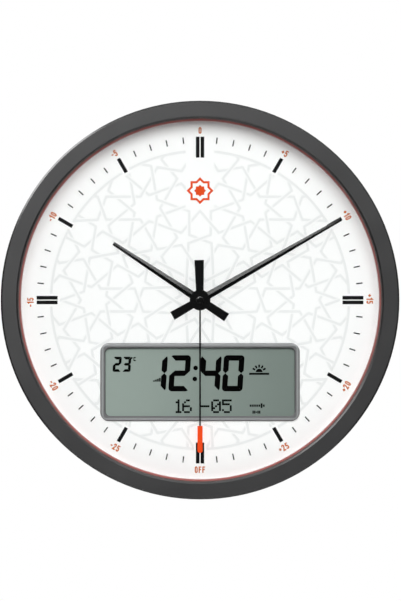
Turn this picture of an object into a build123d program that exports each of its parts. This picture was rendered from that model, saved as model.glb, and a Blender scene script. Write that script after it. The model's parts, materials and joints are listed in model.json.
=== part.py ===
from build123d import *
import os
from math import cos, radians, sin, tan

# Azan wall clock. +Z is up, the dial faces -Y, the wall is the plane y = 0 and the origin lies on the hand
# axis. Lengths are millimetres, and "depth" is the distance forward from the wall.

# --- Case ------------------------------------------------------------------------------------------------
case_radius = 175.0
bezel_width = 15.0
bezel_wall = 2.8
bezel_draft = 4.0
bezel_edge_round = 1.6
bezel_face_slope = 0.4
bezel_rear_lift = 1.0
bezel_inner_wall = 2.5
bezel_face_thickness = 3.2
lip_thickness = 2.6
lip_chamfer = 1.4
lip_edge = 1.0
rim_height = 4.0
rim_inset = 5.5
rim_wall = 4.0
shell_floor = 2.5
skirt_wall = 2.5
skirt_gap = 1.8
cavity_depth = 19.0
slip = 0.2
touch = 0.02
running = 0.06

# --- Layers between the rear shell and the lens ----------------------------------------------------------
carrier_thickness = 2.5
dial_thickness = 1.5
hand_room = 13.0
lens_thickness = 2.5
gasket_thickness = 0.4

floor_rear = rim_height
floor_front = floor_rear + shell_floor
carrier_rear = floor_front + cavity_depth
dial_rear = carrier_rear + carrier_thickness
dial_face = dial_rear + dial_thickness
lens_rear = dial_face + hand_room
lens_front = lens_rear + lens_thickness
lip_rear = lens_front + gasket_thickness
case_depth = lip_rear + lip_thickness

accent_reveal = 2.9
accent_wall = 2.0
lip_overlap = 3.4

lip_radius = case_radius - bezel_width
accent_foot_radius = lip_radius - accent_reveal
stack_radius = lip_radius + lip_overlap
bore_radius = stack_radius + slip
bezel_rear = floor_rear + bezel_rear_lift
bezel_rear_radius = case_radius - bezel_draft
shell_radius = bezel_rear_radius - bezel_wall - 2 * slip

# --- Case screws and their bosses ------------------------------------------------------------------------
case_screw_bearings = (30, 90, 150, 210, 270, 330)
case_screw_radius = 1.5
case_screw_head_radius = 3.0
case_screw_head_height = 1.6
case_screw_length = 12.0
case_boss_radius = 3.3
case_screw_offset = 1.0
screw_hole_slack = 0.2
cross_length_share = 1.2
cross_width_share = 0.25

case_screw_circle = bore_radius + case_screw_offset
skirt_radius = case_screw_circle - case_boss_radius - skirt_gap
rim_radius = skirt_radius - rim_inset

# --- Liquid-crystal panel --------------------------------------------------------------------------------
panel_centre = (0.0, -72.1)
view_width = 166.4
view_height = 59.7
view_corner = 5.5
trim_width = 4.5
trim_height_above_dial = 1.4
trim_sleeve = 1.1
glass_border = 3.0
glass_thickness = 2.8
reflector_thickness = 0.4
holder_lap = 2.0
holder_wall = 2.0
board_gap = 6.2
board_thickness = 1.6
board_border = 2.2
board_edge = 4.2
zebra_width = 2.0
standoff_radius = 3.2
small_screw_radius = 1.1
small_screw_head_radius = 2.2
small_screw_head_height = 1.4
small_screw_length = 6.0

glass_width = view_width + 2 * glass_border
glass_height = view_height + 2 * glass_border
glass_rear = dial_rear - glass_thickness
reflector_rear = glass_rear - reflector_thickness
board_front = glass_rear - board_gap
board_rear = board_front - board_thickness
board_height = glass_height + 2 * board_border
board_hole_x = glass_width / 2 + holder_wall + standoff_radius + 2 * slip
board_hole_z = board_height / 2 - board_edge
board_width = 2 * (board_hole_x + board_edge)
holder_opening_width = glass_width - 2 * holder_lap
holder_opening_height = glass_height - 2 * holder_lap
zebra_offset = holder_opening_height / 2 - zebra_width / 2 - slip

# --- Hands (bearings are degrees clockwise from the top, lengths from the hand axis) ---------------------
hour_bearing = 303.2
minute_bearing = 60.2
index_bearing = 180.0
hour_length = 91.0
minute_length = 143.0
hour_tail = 28.0
minute_tail = 28.0
tail_widths = (6.7, 7.9)
hour_hub_radius = 9.1
minute_hub_radius = 8.8
hour_widths = (7.1, 3.2)
minute_widths = (6.9, 3.0)
blade_edge = 0.5
hand_thickness = 1.6
hand_gap = 0.4
index_thickness = 1.2
index_hub_radius = 6.3
needle_width = 1.5
needle_end = 110.6
index_tip_length = 23.7
index_tip_width = 4.5
index_tail = 35.2
index_tail_widths = (6.2, 8.3)
index_tail_lean = 1.3
cap_radius = 3.6
cap_height = 1.8
cap_round_share = 0.8

# --- Centre bush, nut and coaxial shafts -----------------------------------------------------------------
bush_radius = 4.0
bush_proud = 3.5
nut_width = 12.0
nut_thickness = 2.4
washer_thickness = 0.4
washer_radius = 7.0
hour_tube_radius = 2.5
minute_tube_radius = 1.6
index_shaft_radius = 0.8

bush_front = dial_face + bush_proud
hour_rear = bush_front + hand_gap
hour_front = hour_rear + hand_thickness
minute_rear = hour_front + hand_gap
minute_front = minute_rear + hand_thickness
index_rear = minute_front + hand_gap
index_front = index_rear + index_thickness

# --- Movement case, from back to front -------------------------------------------------------------------
movement_thickness = 16.0
movement_wall = 1.2
movement_split = 8.0
movement_corner = 4.0
movement_slack = 1.5
arbor_radius = 0.6
pivot_radius = 0.4
pivot_length = 0.7
end_play = 0.1

movement_rear = carrier_rear - movement_thickness
gear_floor = movement_rear + movement_wall
gear_roof = carrier_rear - movement_wall
movement_middle = movement_rear + movement_split

# --- Gear trains -----------------------------------------------------------------------------------------
train_module = 0.3
centre_teeth = 60
reduction_teeth = 50
pinion_teeth = 10
motion_distance = 9.0
cannon_teeth = 12
motion_teeth = 36
motion_pinion_teeth = 10
hour_teeth = 40
setting_teeth = 18
addendum = 0.75
dedendum = 1.05
root_share = 0.26
tip_share = 0.09
wheel_thickness = 0.9
layer_gap = 0.5

cannon_module = 2 * motion_distance / (cannon_teeth + motion_teeth)
hour_module = 2 * motion_distance / (motion_pinion_teeth + hour_teeth)
first_distance = train_module * (centre_teeth + pinion_teeth) / 2
second_distance = train_module * (reduction_teeth + pinion_teeth) / 2
setting_distance = cannon_module * (motion_teeth + setting_teeth) / 2
third_spot = (-first_distance, 0.0)
time_rotor_spot = (-first_distance - second_distance, 0.0)
motion_spot = (0.0, motion_distance)
setting_spot = (0.0, motion_distance + setting_distance)
index_reduction_spot = (first_distance, 0.0)
index_rotor_spot = (first_distance + second_distance, 0.0)

# Wheel layers, counted back from the front plate of the movement.
hour_wheel_rear = gear_roof - layer_gap - wheel_thickness
motion_wheel_front = hour_wheel_rear - layer_gap
motion_wheel_rear = motion_wheel_front - wheel_thickness
centre_wheel_front = motion_wheel_rear - 3 * layer_gap
centre_wheel_rear = centre_wheel_front - wheel_thickness
third_wheel_front = centre_wheel_rear - 2 * layer_gap
third_wheel_rear = third_wheel_front - wheel_thickness
minute_tube_rear = centre_wheel_rear - layer_gap
index_wheel_rear = gear_floor + 3 * layer_gap
index_wheel_front = index_wheel_rear + wheel_thickness
index_reduction_rear = index_wheel_front + 2 * layer_gap
index_reduction_front = index_reduction_rear + wheel_thickness

# --- Steppers --------------------------------------------------------------------------------------------
rotor_magnet_radius = 2.6
rotor_magnet_height = 3.0
stator_thickness = 1.2
time_stator_lift = 2.7
index_stator_lift = 7.2
stator_air_gap = 0.5
stator_width = 18.0
stator_inset = 0.45
stator_top = 5.0
stator_bottom = 19.5
stator_bar = 4.6
coil_length = 11.0
coil_height = 6.0
coil_width = 7.2
post_radius = 1.3

time_stator_rear = gear_floor + time_stator_lift
index_stator_rear = gear_floor + index_stator_lift
stator_x = first_distance + arbor_radius + stator_inset + stator_width / 2

# The case of the movement encloses the stators at its sides, the setting gear above and the coils below.
movement_side = stator_x + stator_width / 2 + movement_slack + movement_wall
setting_gear_top = setting_spot[1] + (setting_teeth / 2 + addendum) * cannon_module
movement_top = setting_gear_top + movement_slack + movement_wall
movement_bottom = -stator_bottom - (coil_width - stator_bar) / 2 - movement_slack - movement_wall
movement_width = 2 * movement_side
movement_height = movement_top - movement_bottom
movement_centre = (0.0, (movement_top + movement_bottom) / 2)

# --- Hand-setting knob -----------------------------------------------------------------------------------
knob_teeth = 24
knob_module = 0.5
knob_thickness = 2.4
knob_gap = 0.4
setting_arbor_radius = 1.5

# --- Battery bay -----------------------------------------------------------------------------------------
cell_radius = 7.1
cell_body_length = 49.0
cell_nub_radius = 2.7
cell_nub_length = 1.2
cell_count = 3
cell_pitch = 15.6
bay_centre = (-92.0, 22.0)
bay_wall = 2.0
bay_floor = 2.0
bay_ledge = 2.2
cell_slack = 0.4
cell_play = 0.35
cover_thickness = 2.0
cover_gap = 0.3
hinge_pin_radius = 0.8
hinge_pin_length = 1.6
hinge_round_share = 0.45
spring_wire_radius = 0.35
spring_radius = 3.4
spring_turns = 3
spring_length = 5.0
contact_thickness = 0.4
contact_width = 9.0

bay_length = cell_body_length + cell_nub_length + spring_length + 2 * contact_thickness + cell_play
bay_height = cell_count * cell_pitch + 2 * cell_slack
cover_front = floor_rear + cover_thickness
cell_depth = cover_front + cell_slack + cell_radius
bay_front = cell_depth + cell_radius + cell_slack
cover_width = bay_length + 2 * bay_ledge
cover_height = bay_height + 2 * bay_ledge
hinge_spot_z = bay_centre[1] - cover_height / 2 + cover_thickness / 2
hinge_depth = floor_rear + cover_thickness / 2
notch_width = 16.0
notch_height = 3.0

# --- Speaker ---------------------------------------------------------------------------------------------
speaker_centre = (92.0, 22.0)
speaker_radius = 28.5
speaker_flange = 4.0
speaker_flange_thickness = 1.2
basket_wall = 1.0
basket_depth = 9.0
magnet_radius = 15.0
magnet_thickness = 5.0
magnet_hole_radius = 6.5
cone_thickness = 0.5
voice_radius = 6.0
clamp_ear_radius = 3.6
clamp_gap = 0.3
grille_hole_radius = 1.3
grille_pitch = 4.6
grille_rings = 4

clamp_circle = speaker_radius + standoff_radius + clamp_gap

# --- Rear buttons and slide switch -----------------------------------------------------------------------
button_row_z = 84.0
button_spots = {
    "set_button": -50.0,
    "up_button": -32.0,
    "down_button": -14.0,
    "volume_button": 4.0,
    "stop_button": 22.0,
}
button_radius = 4.0
button_proud = 1.8
button_flange_radius = 5.2
button_flange_thickness = 1.0
button_stem_radius = 1.5
button_travel = 0.6
button_slack = 0.3
switch_height = 3.4
switch_size = 6.0
plunger_radius = 1.7
plunger_height = 0.6
button_room = 8.1
button_board_height = 15.0
button_board_post_x = 63.0
button_board_end = 7.0
slide_spot_x = 44.0
slide_travel = 4.0
slide_knob_size = 4.0
slide_knob_proud = 1.5
slide_body_width = 14.0
slide_body_height = 7.0

button_board_rear = floor_front + button_room
button_board_width = 2 * (button_board_post_x + button_board_end)

# --- Hanger ----------------------------------------------------------------------------------------------
hanger_centre = (0.0, 128.0)
hanger_end = 6.0
hanger_margin = 3.0
hanger_corner = 3.0
hanger_thickness = 1.5
keyhole_entry_radius = 4.5
keyhole_slot_half = 2.4
keyhole_drop = 12.0
screw_pocket_width = 22.0
screw_pocket_height = 24.0
screw_pocket_depth = 8.0
pocket_wall = 1.6

keyhole_entry_z = hanger_centre[1] - keyhole_drop / 2
keyhole_seat_z = hanger_centre[1] + keyhole_drop / 2
hanger_screw_x = screw_pocket_width / 2 + pocket_wall + standoff_radius
hanger_width = 2 * (hanger_screw_x + hanger_end)
hanger_height = screw_pocket_height + 2 * hanger_margin

# --- Small board components ------------------------------------------------------------------------------
controller_offset = (-20.0, 0.0)
controller_size = 14.0
controller_thickness = 1.4
capacitor_offsets = ((52.0, -16.0), (62.0, -16.0))
capacitor_radius = 2.5
capacitor_height = 5.0
crystal_offset = (4.0, 12.0)
crystal_length = 8.0
crystal_height = 3.0
sensor_spot_x = 40.0
sensor_bead_radius = 1.5
sensor_leg_length = 6.0
sensor_leg_radius = 0.3
sensor_leg_pitch = 1.6
sensor_leg_lap = 3.0
bead_round_share = 0.8

# --- Internal leads: bends are (x, z, depth), and a landing on the main board is (x, z) -------------------
lead_radius = 0.5
board_lead_depth = 11.0
bend_share = 0.45

battery_lead_x = -80.0
battery_lead_depth = 15.0
battery_lead_run = 13.0
battery_lead_bend = (-74.0, -38.0, 10.5)
battery_lead_landing = (-70.0, -52.0)

button_lead_x = -45.0
button_lead_run = 13.0
button_lead_bends = [(-47.0, 34.0, 10.5), (-44.0, 8.0, 11.0), (-46.0, -18.0, 10.5)]
button_lead_landing = (-43.0, -42.0)

speaker_lead_depth = 20.5
speaker_lead_run = 11.0
speaker_lead_bends = [(56.0, 6.0, 16.0), (52.0, -16.0, 10.5)]
speaker_lead_landing = (50.0, -44.0)

movement_lead_x = 12.0
movement_lead_depth = 14.0
movement_lead_run = 7.0
movement_lead_landing = (15.0, -48.0)
movement_lead_landing_depth = 12.0

FRONT = Plane(origin=(0, 0, 0), x_dir=(1, 0, 0), z_dir=(0, -1, 0))


def at_depth(depth):
    """A plane parallel to the wall, facing forward, at a depth."""
    return FRONT.offset(depth)


def spot_on_circle(radius, bearing):
    """The point at a bearing, in degrees clockwise from the top."""
    return (radius * sin(radians(bearing)), radius * cos(radians(bearing)))


def disc(radius, rear, front, centre=(0, 0), hole=0.0, mode=Mode.ADD):
    """A round slab between two depths, with a hole through it if one is given."""
    with BuildSketch(at_depth(rear)) as outline:
        with Locations(centre):
            Circle(radius)
            if hole:
                Circle(hole, mode=Mode.SUBTRACT)
    extrude(outline.sketch, amount=front - rear, mode=mode)


def slab(width, height, rear, front, centre=(0, 0), corner=0.0, mode=Mode.ADD):
    """A rectangular slab between two depths, with rounded corners if a radius is given."""
    with BuildSketch(at_depth(rear)) as outline:
        with Locations(centre):
            if corner:
                RectangleRounded(width, height, corner)
            else:
                Rectangle(width, height)
    extrude(outline.sketch, amount=front - rear, mode=mode)


def turned(points, centre=(0, 0), mode=Mode.ADD):
    """A ring turned from a closed outline of (radius, depth) points about a centre on the dial."""
    section = Plane(origin=(centre[0], 0, centre[1]), x_dir=(1, 0, 0), z_dir=(0, 0, -1))
    with BuildSketch(section) as outline:
        with BuildLine():
            Polyline(*points, close=True)
        make_face()
    revolve(outline.sketch, axis=Axis((centre[0], 0, centre[1]), (0, -1, 0)), mode=mode)


def toothed_wheel(teeth, module, rear, front, centre=(0, 0), tooth_at=0.0):
    """A toothed disc with one tooth centred on the direction tooth_at, in degrees from +X towards +Z."""
    pitch_radius = teeth * module / 2
    root_radius = pitch_radius - dedendum * module
    tip_radius = pitch_radius + addendum * module
    tooth_shape = (
        (-root_share, root_radius),
        (-tip_share, tip_radius),
        (tip_share, tip_radius),
        (root_share, root_radius),
    )
    points = []
    for tooth in range(teeth):
        for share, radius in tooth_shape:
            angle = radians(tooth_at + (tooth + share) * 360 / teeth)
            points.append((centre[0] + radius * cos(angle), centre[1] + radius * sin(angle)))
    with BuildSketch(at_depth(rear)) as outline:
        with BuildLine():
            Polyline(*points, close=True)
        make_face()
    extrude(outline.sketch, amount=front - rear)


def pivoted_arbor(centre):
    """An arbor between the two plates of the movement, with a thin pivot in each."""
    disc(arbor_radius, gear_floor + end_play, gear_roof - end_play, centre)
    disc(pivot_radius, gear_floor - pivot_length, gear_roof + pivot_length, centre)


def across(bearing, radius):
    """The plane square to a hand at a radius: x runs across the hand and -y runs forward."""
    direction = (sin(radians(bearing)), 0, cos(radians(bearing)))
    side = (cos(radians(bearing)), 0, -sin(radians(bearing)))
    origin = (radius * direction[0], 0, radius * direction[2])
    return Plane(origin=origin, x_dir=side, z_dir=direction)


def ridged_arm(bearing, start, end, widths, rear):
    """A hand's arm that tapers outwards, with a ridge along its middle."""
    sections = []
    for radius, width in zip((start, end), widths):
        with BuildSketch(across(bearing, radius)) as outline:
            with BuildLine():
                Polyline(
                    (-width / 2, -rear),
                    (-width / 2, -rear - blade_edge),
                    (0, -rear - hand_thickness),
                    (width / 2, -rear - blade_edge),
                    (width / 2, -rear),
                    close=True,
                )
            make_face()
        sections.append(outline.sketch)
    loft(sections)


def flat_arm(bearing, start, end, widths, rear, front):
    """A flat bar along a bearing whose width changes from its start to its end."""
    plane = across(bearing, 0)
    corners = []
    for radius, side in ((start, -1), (end, -1), (end, 1), (start, 1)):
        half = side * (widths[0] if radius == start else widths[1]) / 2
        corner = plane.origin + plane.z_dir * radius + plane.x_dir * half
        corners.append((corner.X, corner.Z))
    with BuildSketch(at_depth(rear)) as outline:
        with BuildLine():
            Polyline(*corners, close=True)
        make_face()
    extrude(outline.sketch, amount=front - rear)


def pan_screw(centre, seat, length, radius, head_radius, head_height, driven=1):
    """A screw with a cross slot, driven forward (1) or to the rear (-1) until its head meets the seat."""
    head_end = seat - driven * head_height
    slot_length = head_radius * cross_length_share
    slot_width = head_radius * cross_width_share
    slot_floor = head_end + driven * head_height / 2
    disc(head_radius, seat, head_end, centre)
    disc(radius, seat, seat + driven * length, centre)
    slab(slot_length, slot_width, head_end, slot_floor, centre, mode=Mode.SUBTRACT)
    slab(slot_width, slot_length, head_end, slot_floor, centre, mode=Mode.SUBTRACT)


def keep(piece, name):
    """Label a finished piece and write it to its own file."""
    piece.part.label = name
    export_step(piece.part, f"parts/{name}.step")


os.makedirs("parts", exist_ok=True)

case_screw_spots = [spot_on_circle(case_screw_circle, bearing) for bearing in case_screw_bearings]
board_screw_spots = [
    (panel_centre[0] + side * board_hole_x, panel_centre[1] + level * board_hole_z)
    for side in (-1, 1)
    for level in (-1, 1)
]
button_screw_spots = [(side * button_board_post_x, button_row_z) for side in (-1, 1)]
hanger_screw_spots = [(side * hanger_screw_x, hanger_centre[1]) for side in (-1, 1)]
clamp_screw_spots = [
    (speaker_centre[0] + x, speaker_centre[1] + z)
    for x, z in (spot_on_circle(clamp_circle, bearing) for bearing in (0, 120, 240))
]
cell_heights = [
    bay_centre[1] + (cell - (cell_count - 1) / 2) * cell_pitch for cell in range(cell_count)
]
screw_shank = small_screw_length

# === Case ================================================================================================

with BuildPart() as bezel_ring:
    channel_front = case_depth - bezel_face_thickness
    wall_outside = bore_radius + bezel_inner_wall
    turned(
        [
            (lip_radius, lip_rear),
            (lip_radius, lip_rear + lip_edge),
            (lip_radius + lip_chamfer, case_depth - bezel_face_slope),
            (case_radius - bezel_edge_round, case_depth),
            (case_radius, case_depth - bezel_edge_round),
            (bezel_rear_radius, bezel_rear),
            (bezel_rear_radius - bezel_wall, bezel_rear),
            (case_radius - bezel_wall, channel_front),
            (wall_outside, channel_front),
            (wall_outside, carrier_rear),
            (bore_radius, carrier_rear),
            (bore_radius, lip_rear),
        ]
    )
    for screw_spot in case_screw_spots:
        disc(case_boss_radius, floor_front + touch, dial_face, screw_spot)
    disc(bore_radius, carrier_rear - touch, lip_rear, mode=Mode.SUBTRACT)
    for screw_spot in case_screw_spots:
        pilot_end = floor_rear + case_screw_length
        disc(case_screw_radius + touch, floor_front, pilot_end, screw_spot, mode=Mode.SUBTRACT)
keep(bezel_ring, "bezel_ring")

with BuildPart() as accent_ring:
    slope = (lip_radius + accent_wall / 4 - accent_foot_radius) / hand_room
    foot_slope = slope * accent_wall
    turned(
        [
            (accent_foot_radius, dial_face),
            (accent_foot_radius + slope * hand_room, lens_rear),
            (stack_radius, lens_rear),
            (stack_radius, lens_rear - accent_wall),
            (accent_foot_radius + slope * hand_room - foot_slope + accent_wall, lens_rear - accent_wall),
            (accent_foot_radius + foot_slope + accent_wall, dial_face + accent_wall),
            (stack_radius, dial_face + accent_wall),
            (stack_radius, dial_face),
        ]
    )
keep(accent_ring, "accent_ring")

with BuildPart() as front_lens:
    disc(stack_radius, lens_rear, lens_front)
keep(front_lens, "front_lens")

with BuildPart() as lens_gasket:
    disc(stack_radius, lens_front, lip_rear, hole=lip_radius + lip_edge)
keep(lens_gasket, "lens_gasket")

with BuildPart() as dial_plate:
    disc(stack_radius, dial_rear, dial_face, hole=bush_radius + slip)
    window_width = view_width + 2 * (trim_sleeve + slip)
    window_height = view_height + 2 * (trim_sleeve + slip)
    slab(window_width, window_height, dial_rear, dial_face, panel_centre, view_corner, Mode.SUBTRACT)
keep(dial_plate, "dial_plate")

with BuildPart() as dial_carrier:
    disc(stack_radius, carrier_rear, dial_rear, hole=bush_radius + slip)
    carrier_window = (glass_width + 2 * slip, glass_height + 2 * slip)
    slab(*carrier_window, carrier_rear, dial_rear, panel_centre, mode=Mode.SUBTRACT)
    for screw_spot in board_screw_spots:
        disc(standoff_radius, board_front, carrier_rear, screw_spot)
        disc(small_screw_radius + touch, board_front, dial_rear - touch, screw_spot, mode=Mode.SUBTRACT)
keep(dial_carrier, "dial_carrier")

with BuildPart() as rear_shell:
    disc(shell_radius, floor_rear, floor_front)
    disc(rim_radius, 0, floor_rear, hole=rim_radius - rim_wall)
    disc(skirt_radius, floor_front, carrier_rear, hole=skirt_radius - skirt_wall)
    # battery bay: a box on the floor, with a recess for the cover
    slab(
        cover_width + 2 * (cover_gap + bay_wall),
        cover_height + 2 * (cover_gap + bay_wall),
        floor_rear,
        bay_front + bay_floor,
        bay_centre,
    )
    slab(bay_length, bay_height, floor_rear, bay_front, bay_centre, mode=Mode.SUBTRACT)
    slab(
        cover_width + 2 * cover_gap,
        cover_height + 2 * cover_gap,
        floor_rear,
        cover_front + cover_gap,
        bay_centre,
        mode=Mode.SUBTRACT,
    )
    slab(
        cover_width + 2 * (cover_gap + hinge_pin_length),
        2 * (hinge_pin_radius + cover_gap),
        floor_rear,
        hinge_depth + hinge_pin_radius + running,
        (bay_centre[0], hinge_spot_z),
        mode=Mode.SUBTRACT,
    )
    # pocket for the head of the wall screw, and the recess of the hanger plate over it
    pocket_front = floor_rear + hanger_thickness + screw_pocket_depth
    slab(
        screw_pocket_width + 2 * pocket_wall,
        screw_pocket_height + 2 * pocket_wall,
        floor_rear,
        pocket_front + pocket_wall,
        hanger_centre,
    )
    pocket_size = (screw_pocket_width, screw_pocket_height)
    slab(*pocket_size, floor_rear, pocket_front, hanger_centre, mode=Mode.SUBTRACT)
    slab(
        hanger_width + slip,
        hanger_height + slip,
        floor_rear,
        floor_rear + hanger_thickness,
        hanger_centre,
        hanger_corner,
        Mode.SUBTRACT,
    )
    for screw_spot in hanger_screw_spots:
        disc(standoff_radius, floor_front, floor_front + screw_shank, screw_spot)
        disc(
            small_screw_radius + touch,
            floor_rear,
            floor_rear + hanger_thickness + screw_shank + slip,
            screw_spot,
            mode=Mode.SUBTRACT,
        )
    # bosses of the speaker clamp and the button board
    for screw_spot in clamp_screw_spots:
        disc(standoff_radius, floor_front, floor_front + speaker_flange_thickness, screw_spot)
        disc(
            small_screw_radius + touch,
            floor_rear + touch,
            floor_front + speaker_flange_thickness,
            screw_spot,
            mode=Mode.SUBTRACT,
        )
    for screw_spot in button_screw_spots:
        disc(standoff_radius, floor_front, button_board_rear, screw_spot)
        disc(
            small_screw_radius + touch,
            button_board_rear - screw_shank,
            button_board_rear,
            screw_spot,
            mode=Mode.SUBTRACT,
        )
    # openings in the floor
    for screw_spot in case_screw_spots:
        screw_hole_radius = case_screw_radius + screw_hole_slack
        disc(screw_hole_radius, floor_rear, floor_front, screw_spot, mode=Mode.SUBTRACT)
    for button_x in button_spots.values():
        button_hole_radius = button_radius + button_slack
        disc(button_hole_radius, floor_rear, floor_front, (button_x, button_row_z), mode=Mode.SUBTRACT)
    slab(
        slide_knob_size + slide_travel + 2 * button_slack,
        slide_knob_size + 2 * button_slack,
        floor_rear,
        floor_front,
        (slide_spot_x, button_row_z),
        mode=Mode.SUBTRACT,
    )
    disc(setting_arbor_radius + slip, floor_rear, floor_front, setting_spot, mode=Mode.SUBTRACT)
    with BuildSketch(at_depth(floor_rear)) as grille:
        with Locations(speaker_centre):
            Circle(grille_hole_radius)
            for ring in range(1, grille_rings + 1):
                with PolarLocations(ring * grille_pitch, 6 * ring):
                    Circle(grille_hole_radius)
    extrude(grille.sketch, amount=shell_floor, mode=Mode.SUBTRACT)
keep(rear_shell, "rear_shell")

with BuildPart() as case_screws:
    for screw_spot in case_screw_spots:
        pan_screw(
            screw_spot,
            floor_rear,
            case_screw_length - slip,
            case_screw_radius,
            case_screw_head_radius,
            case_screw_head_height,
        )
keep(case_screws, "case_screws")

# === Hanger ==============================================================================================

with BuildPart() as hanger_plate:
    hanger_front = floor_rear + hanger_thickness
    slab(hanger_width, hanger_height, floor_rear, hanger_front, hanger_centre, hanger_corner)
    disc(keyhole_entry_radius, floor_rear, hanger_front, (0, keyhole_entry_z), mode=Mode.SUBTRACT)
    slot_middle = (keyhole_entry_z + keyhole_seat_z) / 2
    slot_length = keyhole_seat_z - keyhole_entry_z
    slab(2 * keyhole_slot_half, slot_length, floor_rear, hanger_front, (0, slot_middle), mode=Mode.SUBTRACT)
    disc(keyhole_slot_half, floor_rear, hanger_front, (0, keyhole_seat_z), mode=Mode.SUBTRACT)
    for screw_spot in hanger_screw_spots:
        disc(small_screw_radius + slip, floor_rear, hanger_front, screw_spot, mode=Mode.SUBTRACT)
keep(hanger_plate, "hanger_plate")

# === Liquid-crystal panel ================================================================================

with BuildPart() as panel_trim:
    trim_front = dial_face + trim_height_above_dial
    outer_size = (view_width + 2 * trim_width, view_height + 2 * trim_width)
    slab(*outer_size, dial_face, trim_front, panel_centre, view_corner + trim_width / 2)
    top_edges = panel_trim.faces().sort_by(Axis.Y)[0].outer_wire().edges()
    fillet(top_edges, trim_width / 4)
    sleeve_size = (view_width + 2 * trim_sleeve, view_height + 2 * trim_sleeve)
    slab(*sleeve_size, dial_rear, dial_face, panel_centre, view_corner)
    inner_corner = view_corner - trim_sleeve
    slab(view_width, view_height, dial_rear, trim_front, panel_centre, inner_corner, Mode.SUBTRACT)
    inner_edges = panel_trim.faces().sort_by(Axis.Y)[0].inner_wires()[0].edges()
    chamfer(inner_edges, trim_width / 5)
keep(panel_trim, "panel_trim")

with BuildPart() as panel_glass:
    slab(glass_width, glass_height, glass_rear, dial_rear, panel_centre)
keep(panel_glass, "panel_glass")

with BuildPart() as panel_reflector:
    reflector_height = 2 * (zebra_offset - zebra_width / 2 - slip)
    slab(holder_opening_width - 2 * slip, reflector_height, reflector_rear, glass_rear, panel_centre)
keep(panel_reflector, "panel_reflector")

with BuildPart() as panel_holder:
    holder_size = (glass_width + 2 * holder_wall, glass_height + 2 * holder_wall)
    slab(*holder_size, board_front, glass_rear, panel_centre)
    opening_size = (holder_opening_width, holder_opening_height)
    slab(*opening_size, board_front, glass_rear, panel_centre, mode=Mode.SUBTRACT)
keep(panel_holder, "panel_holder")

with BuildPart() as conductive_strips:
    for side in (-1, 1):
        strip_spot = (panel_centre[0], panel_centre[1] + side * zebra_offset)
        slab(holder_opening_width - 2 * glass_border, zebra_width, board_front, glass_rear, strip_spot)
keep(conductive_strips, "conductive_strips")

with BuildPart() as main_board:
    slab(board_width, board_height, board_rear, board_front, panel_centre)
    for screw_spot in board_screw_spots:
        disc(small_screw_radius + slip, board_rear, board_front, screw_spot, mode=Mode.SUBTRACT)
keep(main_board, "main_board")

with BuildPart() as board_components:
    controller_spot = (panel_centre[0] + controller_offset[0], panel_centre[1] + controller_offset[1])
    controller_rear = board_rear - controller_thickness
    slab(controller_size, controller_size, controller_rear, board_rear, controller_spot)
    for offset_x, offset_z in capacitor_offsets:
        capacitor_spot = (panel_centre[0] + offset_x, panel_centre[1] + offset_z)
        disc(capacitor_radius, board_rear - capacitor_height, board_rear, capacitor_spot)
    crystal_spot = (panel_centre[0] + crystal_offset[0], panel_centre[1] + crystal_offset[1])
    crystal_rear = board_rear - crystal_height
    slab(crystal_length, crystal_height, crystal_rear, board_rear, crystal_spot, crystal_height / 3)
keep(board_components, "board_components")

with BuildPart() as temperature_sensor:
    board_bottom = panel_centre[1] - board_height / 2
    bead_z = board_bottom - sensor_leg_length
    leg_depth = board_rear - sensor_leg_radius
    with BuildSketch(Plane(origin=(sensor_spot_x, -leg_depth, bead_z), z_dir=(0, 0, -1))) as bead:
        Circle(sensor_bead_radius)
    extrude(bead.sketch, amount=2 * sensor_bead_radius)
    fillet(temperature_sensor.edges().group_by(Axis.Z)[0], sensor_bead_radius * bead_round_share)
    for side in (-1, 1):
        leg_x = sensor_spot_x + side * sensor_leg_pitch / 2
        with BuildSketch(Plane(origin=(leg_x, -leg_depth, bead_z), z_dir=(0, 0, 1))) as leg:
            Circle(sensor_leg_radius)
        extrude(leg.sketch, amount=sensor_leg_length + sensor_leg_lap)
keep(temperature_sensor, "temperature_sensor")

# === Movement case, bush and nut =========================================================================

arbor_spots = [third_spot, time_rotor_spot, setting_spot, index_reduction_spot, index_rotor_spot]
case_inside = (movement_width - 2 * movement_wall, movement_height - 2 * movement_wall)

with BuildPart() as movement_front_case:
    slab(movement_width, movement_height, movement_middle, carrier_rear, movement_centre, movement_corner)
    slab(*case_inside, movement_middle, gear_roof, movement_centre, mode=Mode.SUBTRACT)
    disc(bush_radius + touch, gear_roof, carrier_rear, mode=Mode.SUBTRACT)
    disc(arbor_radius, motion_wheel_rear, gear_roof + pivot_length, motion_spot)
    for arbor_spot in arbor_spots:
        pivot_end = gear_roof + pivot_length + end_play
        disc(pivot_radius + running, gear_roof, pivot_end, arbor_spot, mode=Mode.SUBTRACT)
keep(movement_front_case, "movement_front_case")

with BuildPart() as movement_rear_case:
    slab(movement_width, movement_height, movement_rear, movement_middle, movement_centre, movement_corner)
    slab(*case_inside, gear_floor, movement_middle, movement_centre, mode=Mode.SUBTRACT)
    for arbor_spot in arbor_spots + [(0, 0)]:
        pivot_end = gear_floor - pivot_length - end_play
        disc(pivot_radius + running, pivot_end, gear_floor, arbor_spot, mode=Mode.SUBTRACT)
    disc(setting_arbor_radius + running, movement_rear, gear_floor, setting_spot, mode=Mode.SUBTRACT)
    post_x = stator_x + stator_width / 2 - 2 * post_radius
    for side, stator_rear in ((-1, time_stator_rear), (1, index_stator_rear)):
        disc(post_radius, gear_floor, stator_rear, (side * post_x, stator_top - 2 * post_radius))
keep(movement_rear_case, "movement_rear_case")

with BuildPart() as centre_bush:
    disc(bush_radius, gear_roof, bush_front, hole=hour_tube_radius + running)
keep(centre_bush, "centre_bush")

with BuildPart() as bush_washer:
    disc(washer_radius, dial_face, dial_face + washer_thickness, hole=bush_radius + slip)
keep(bush_washer, "bush_washer")

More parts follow.
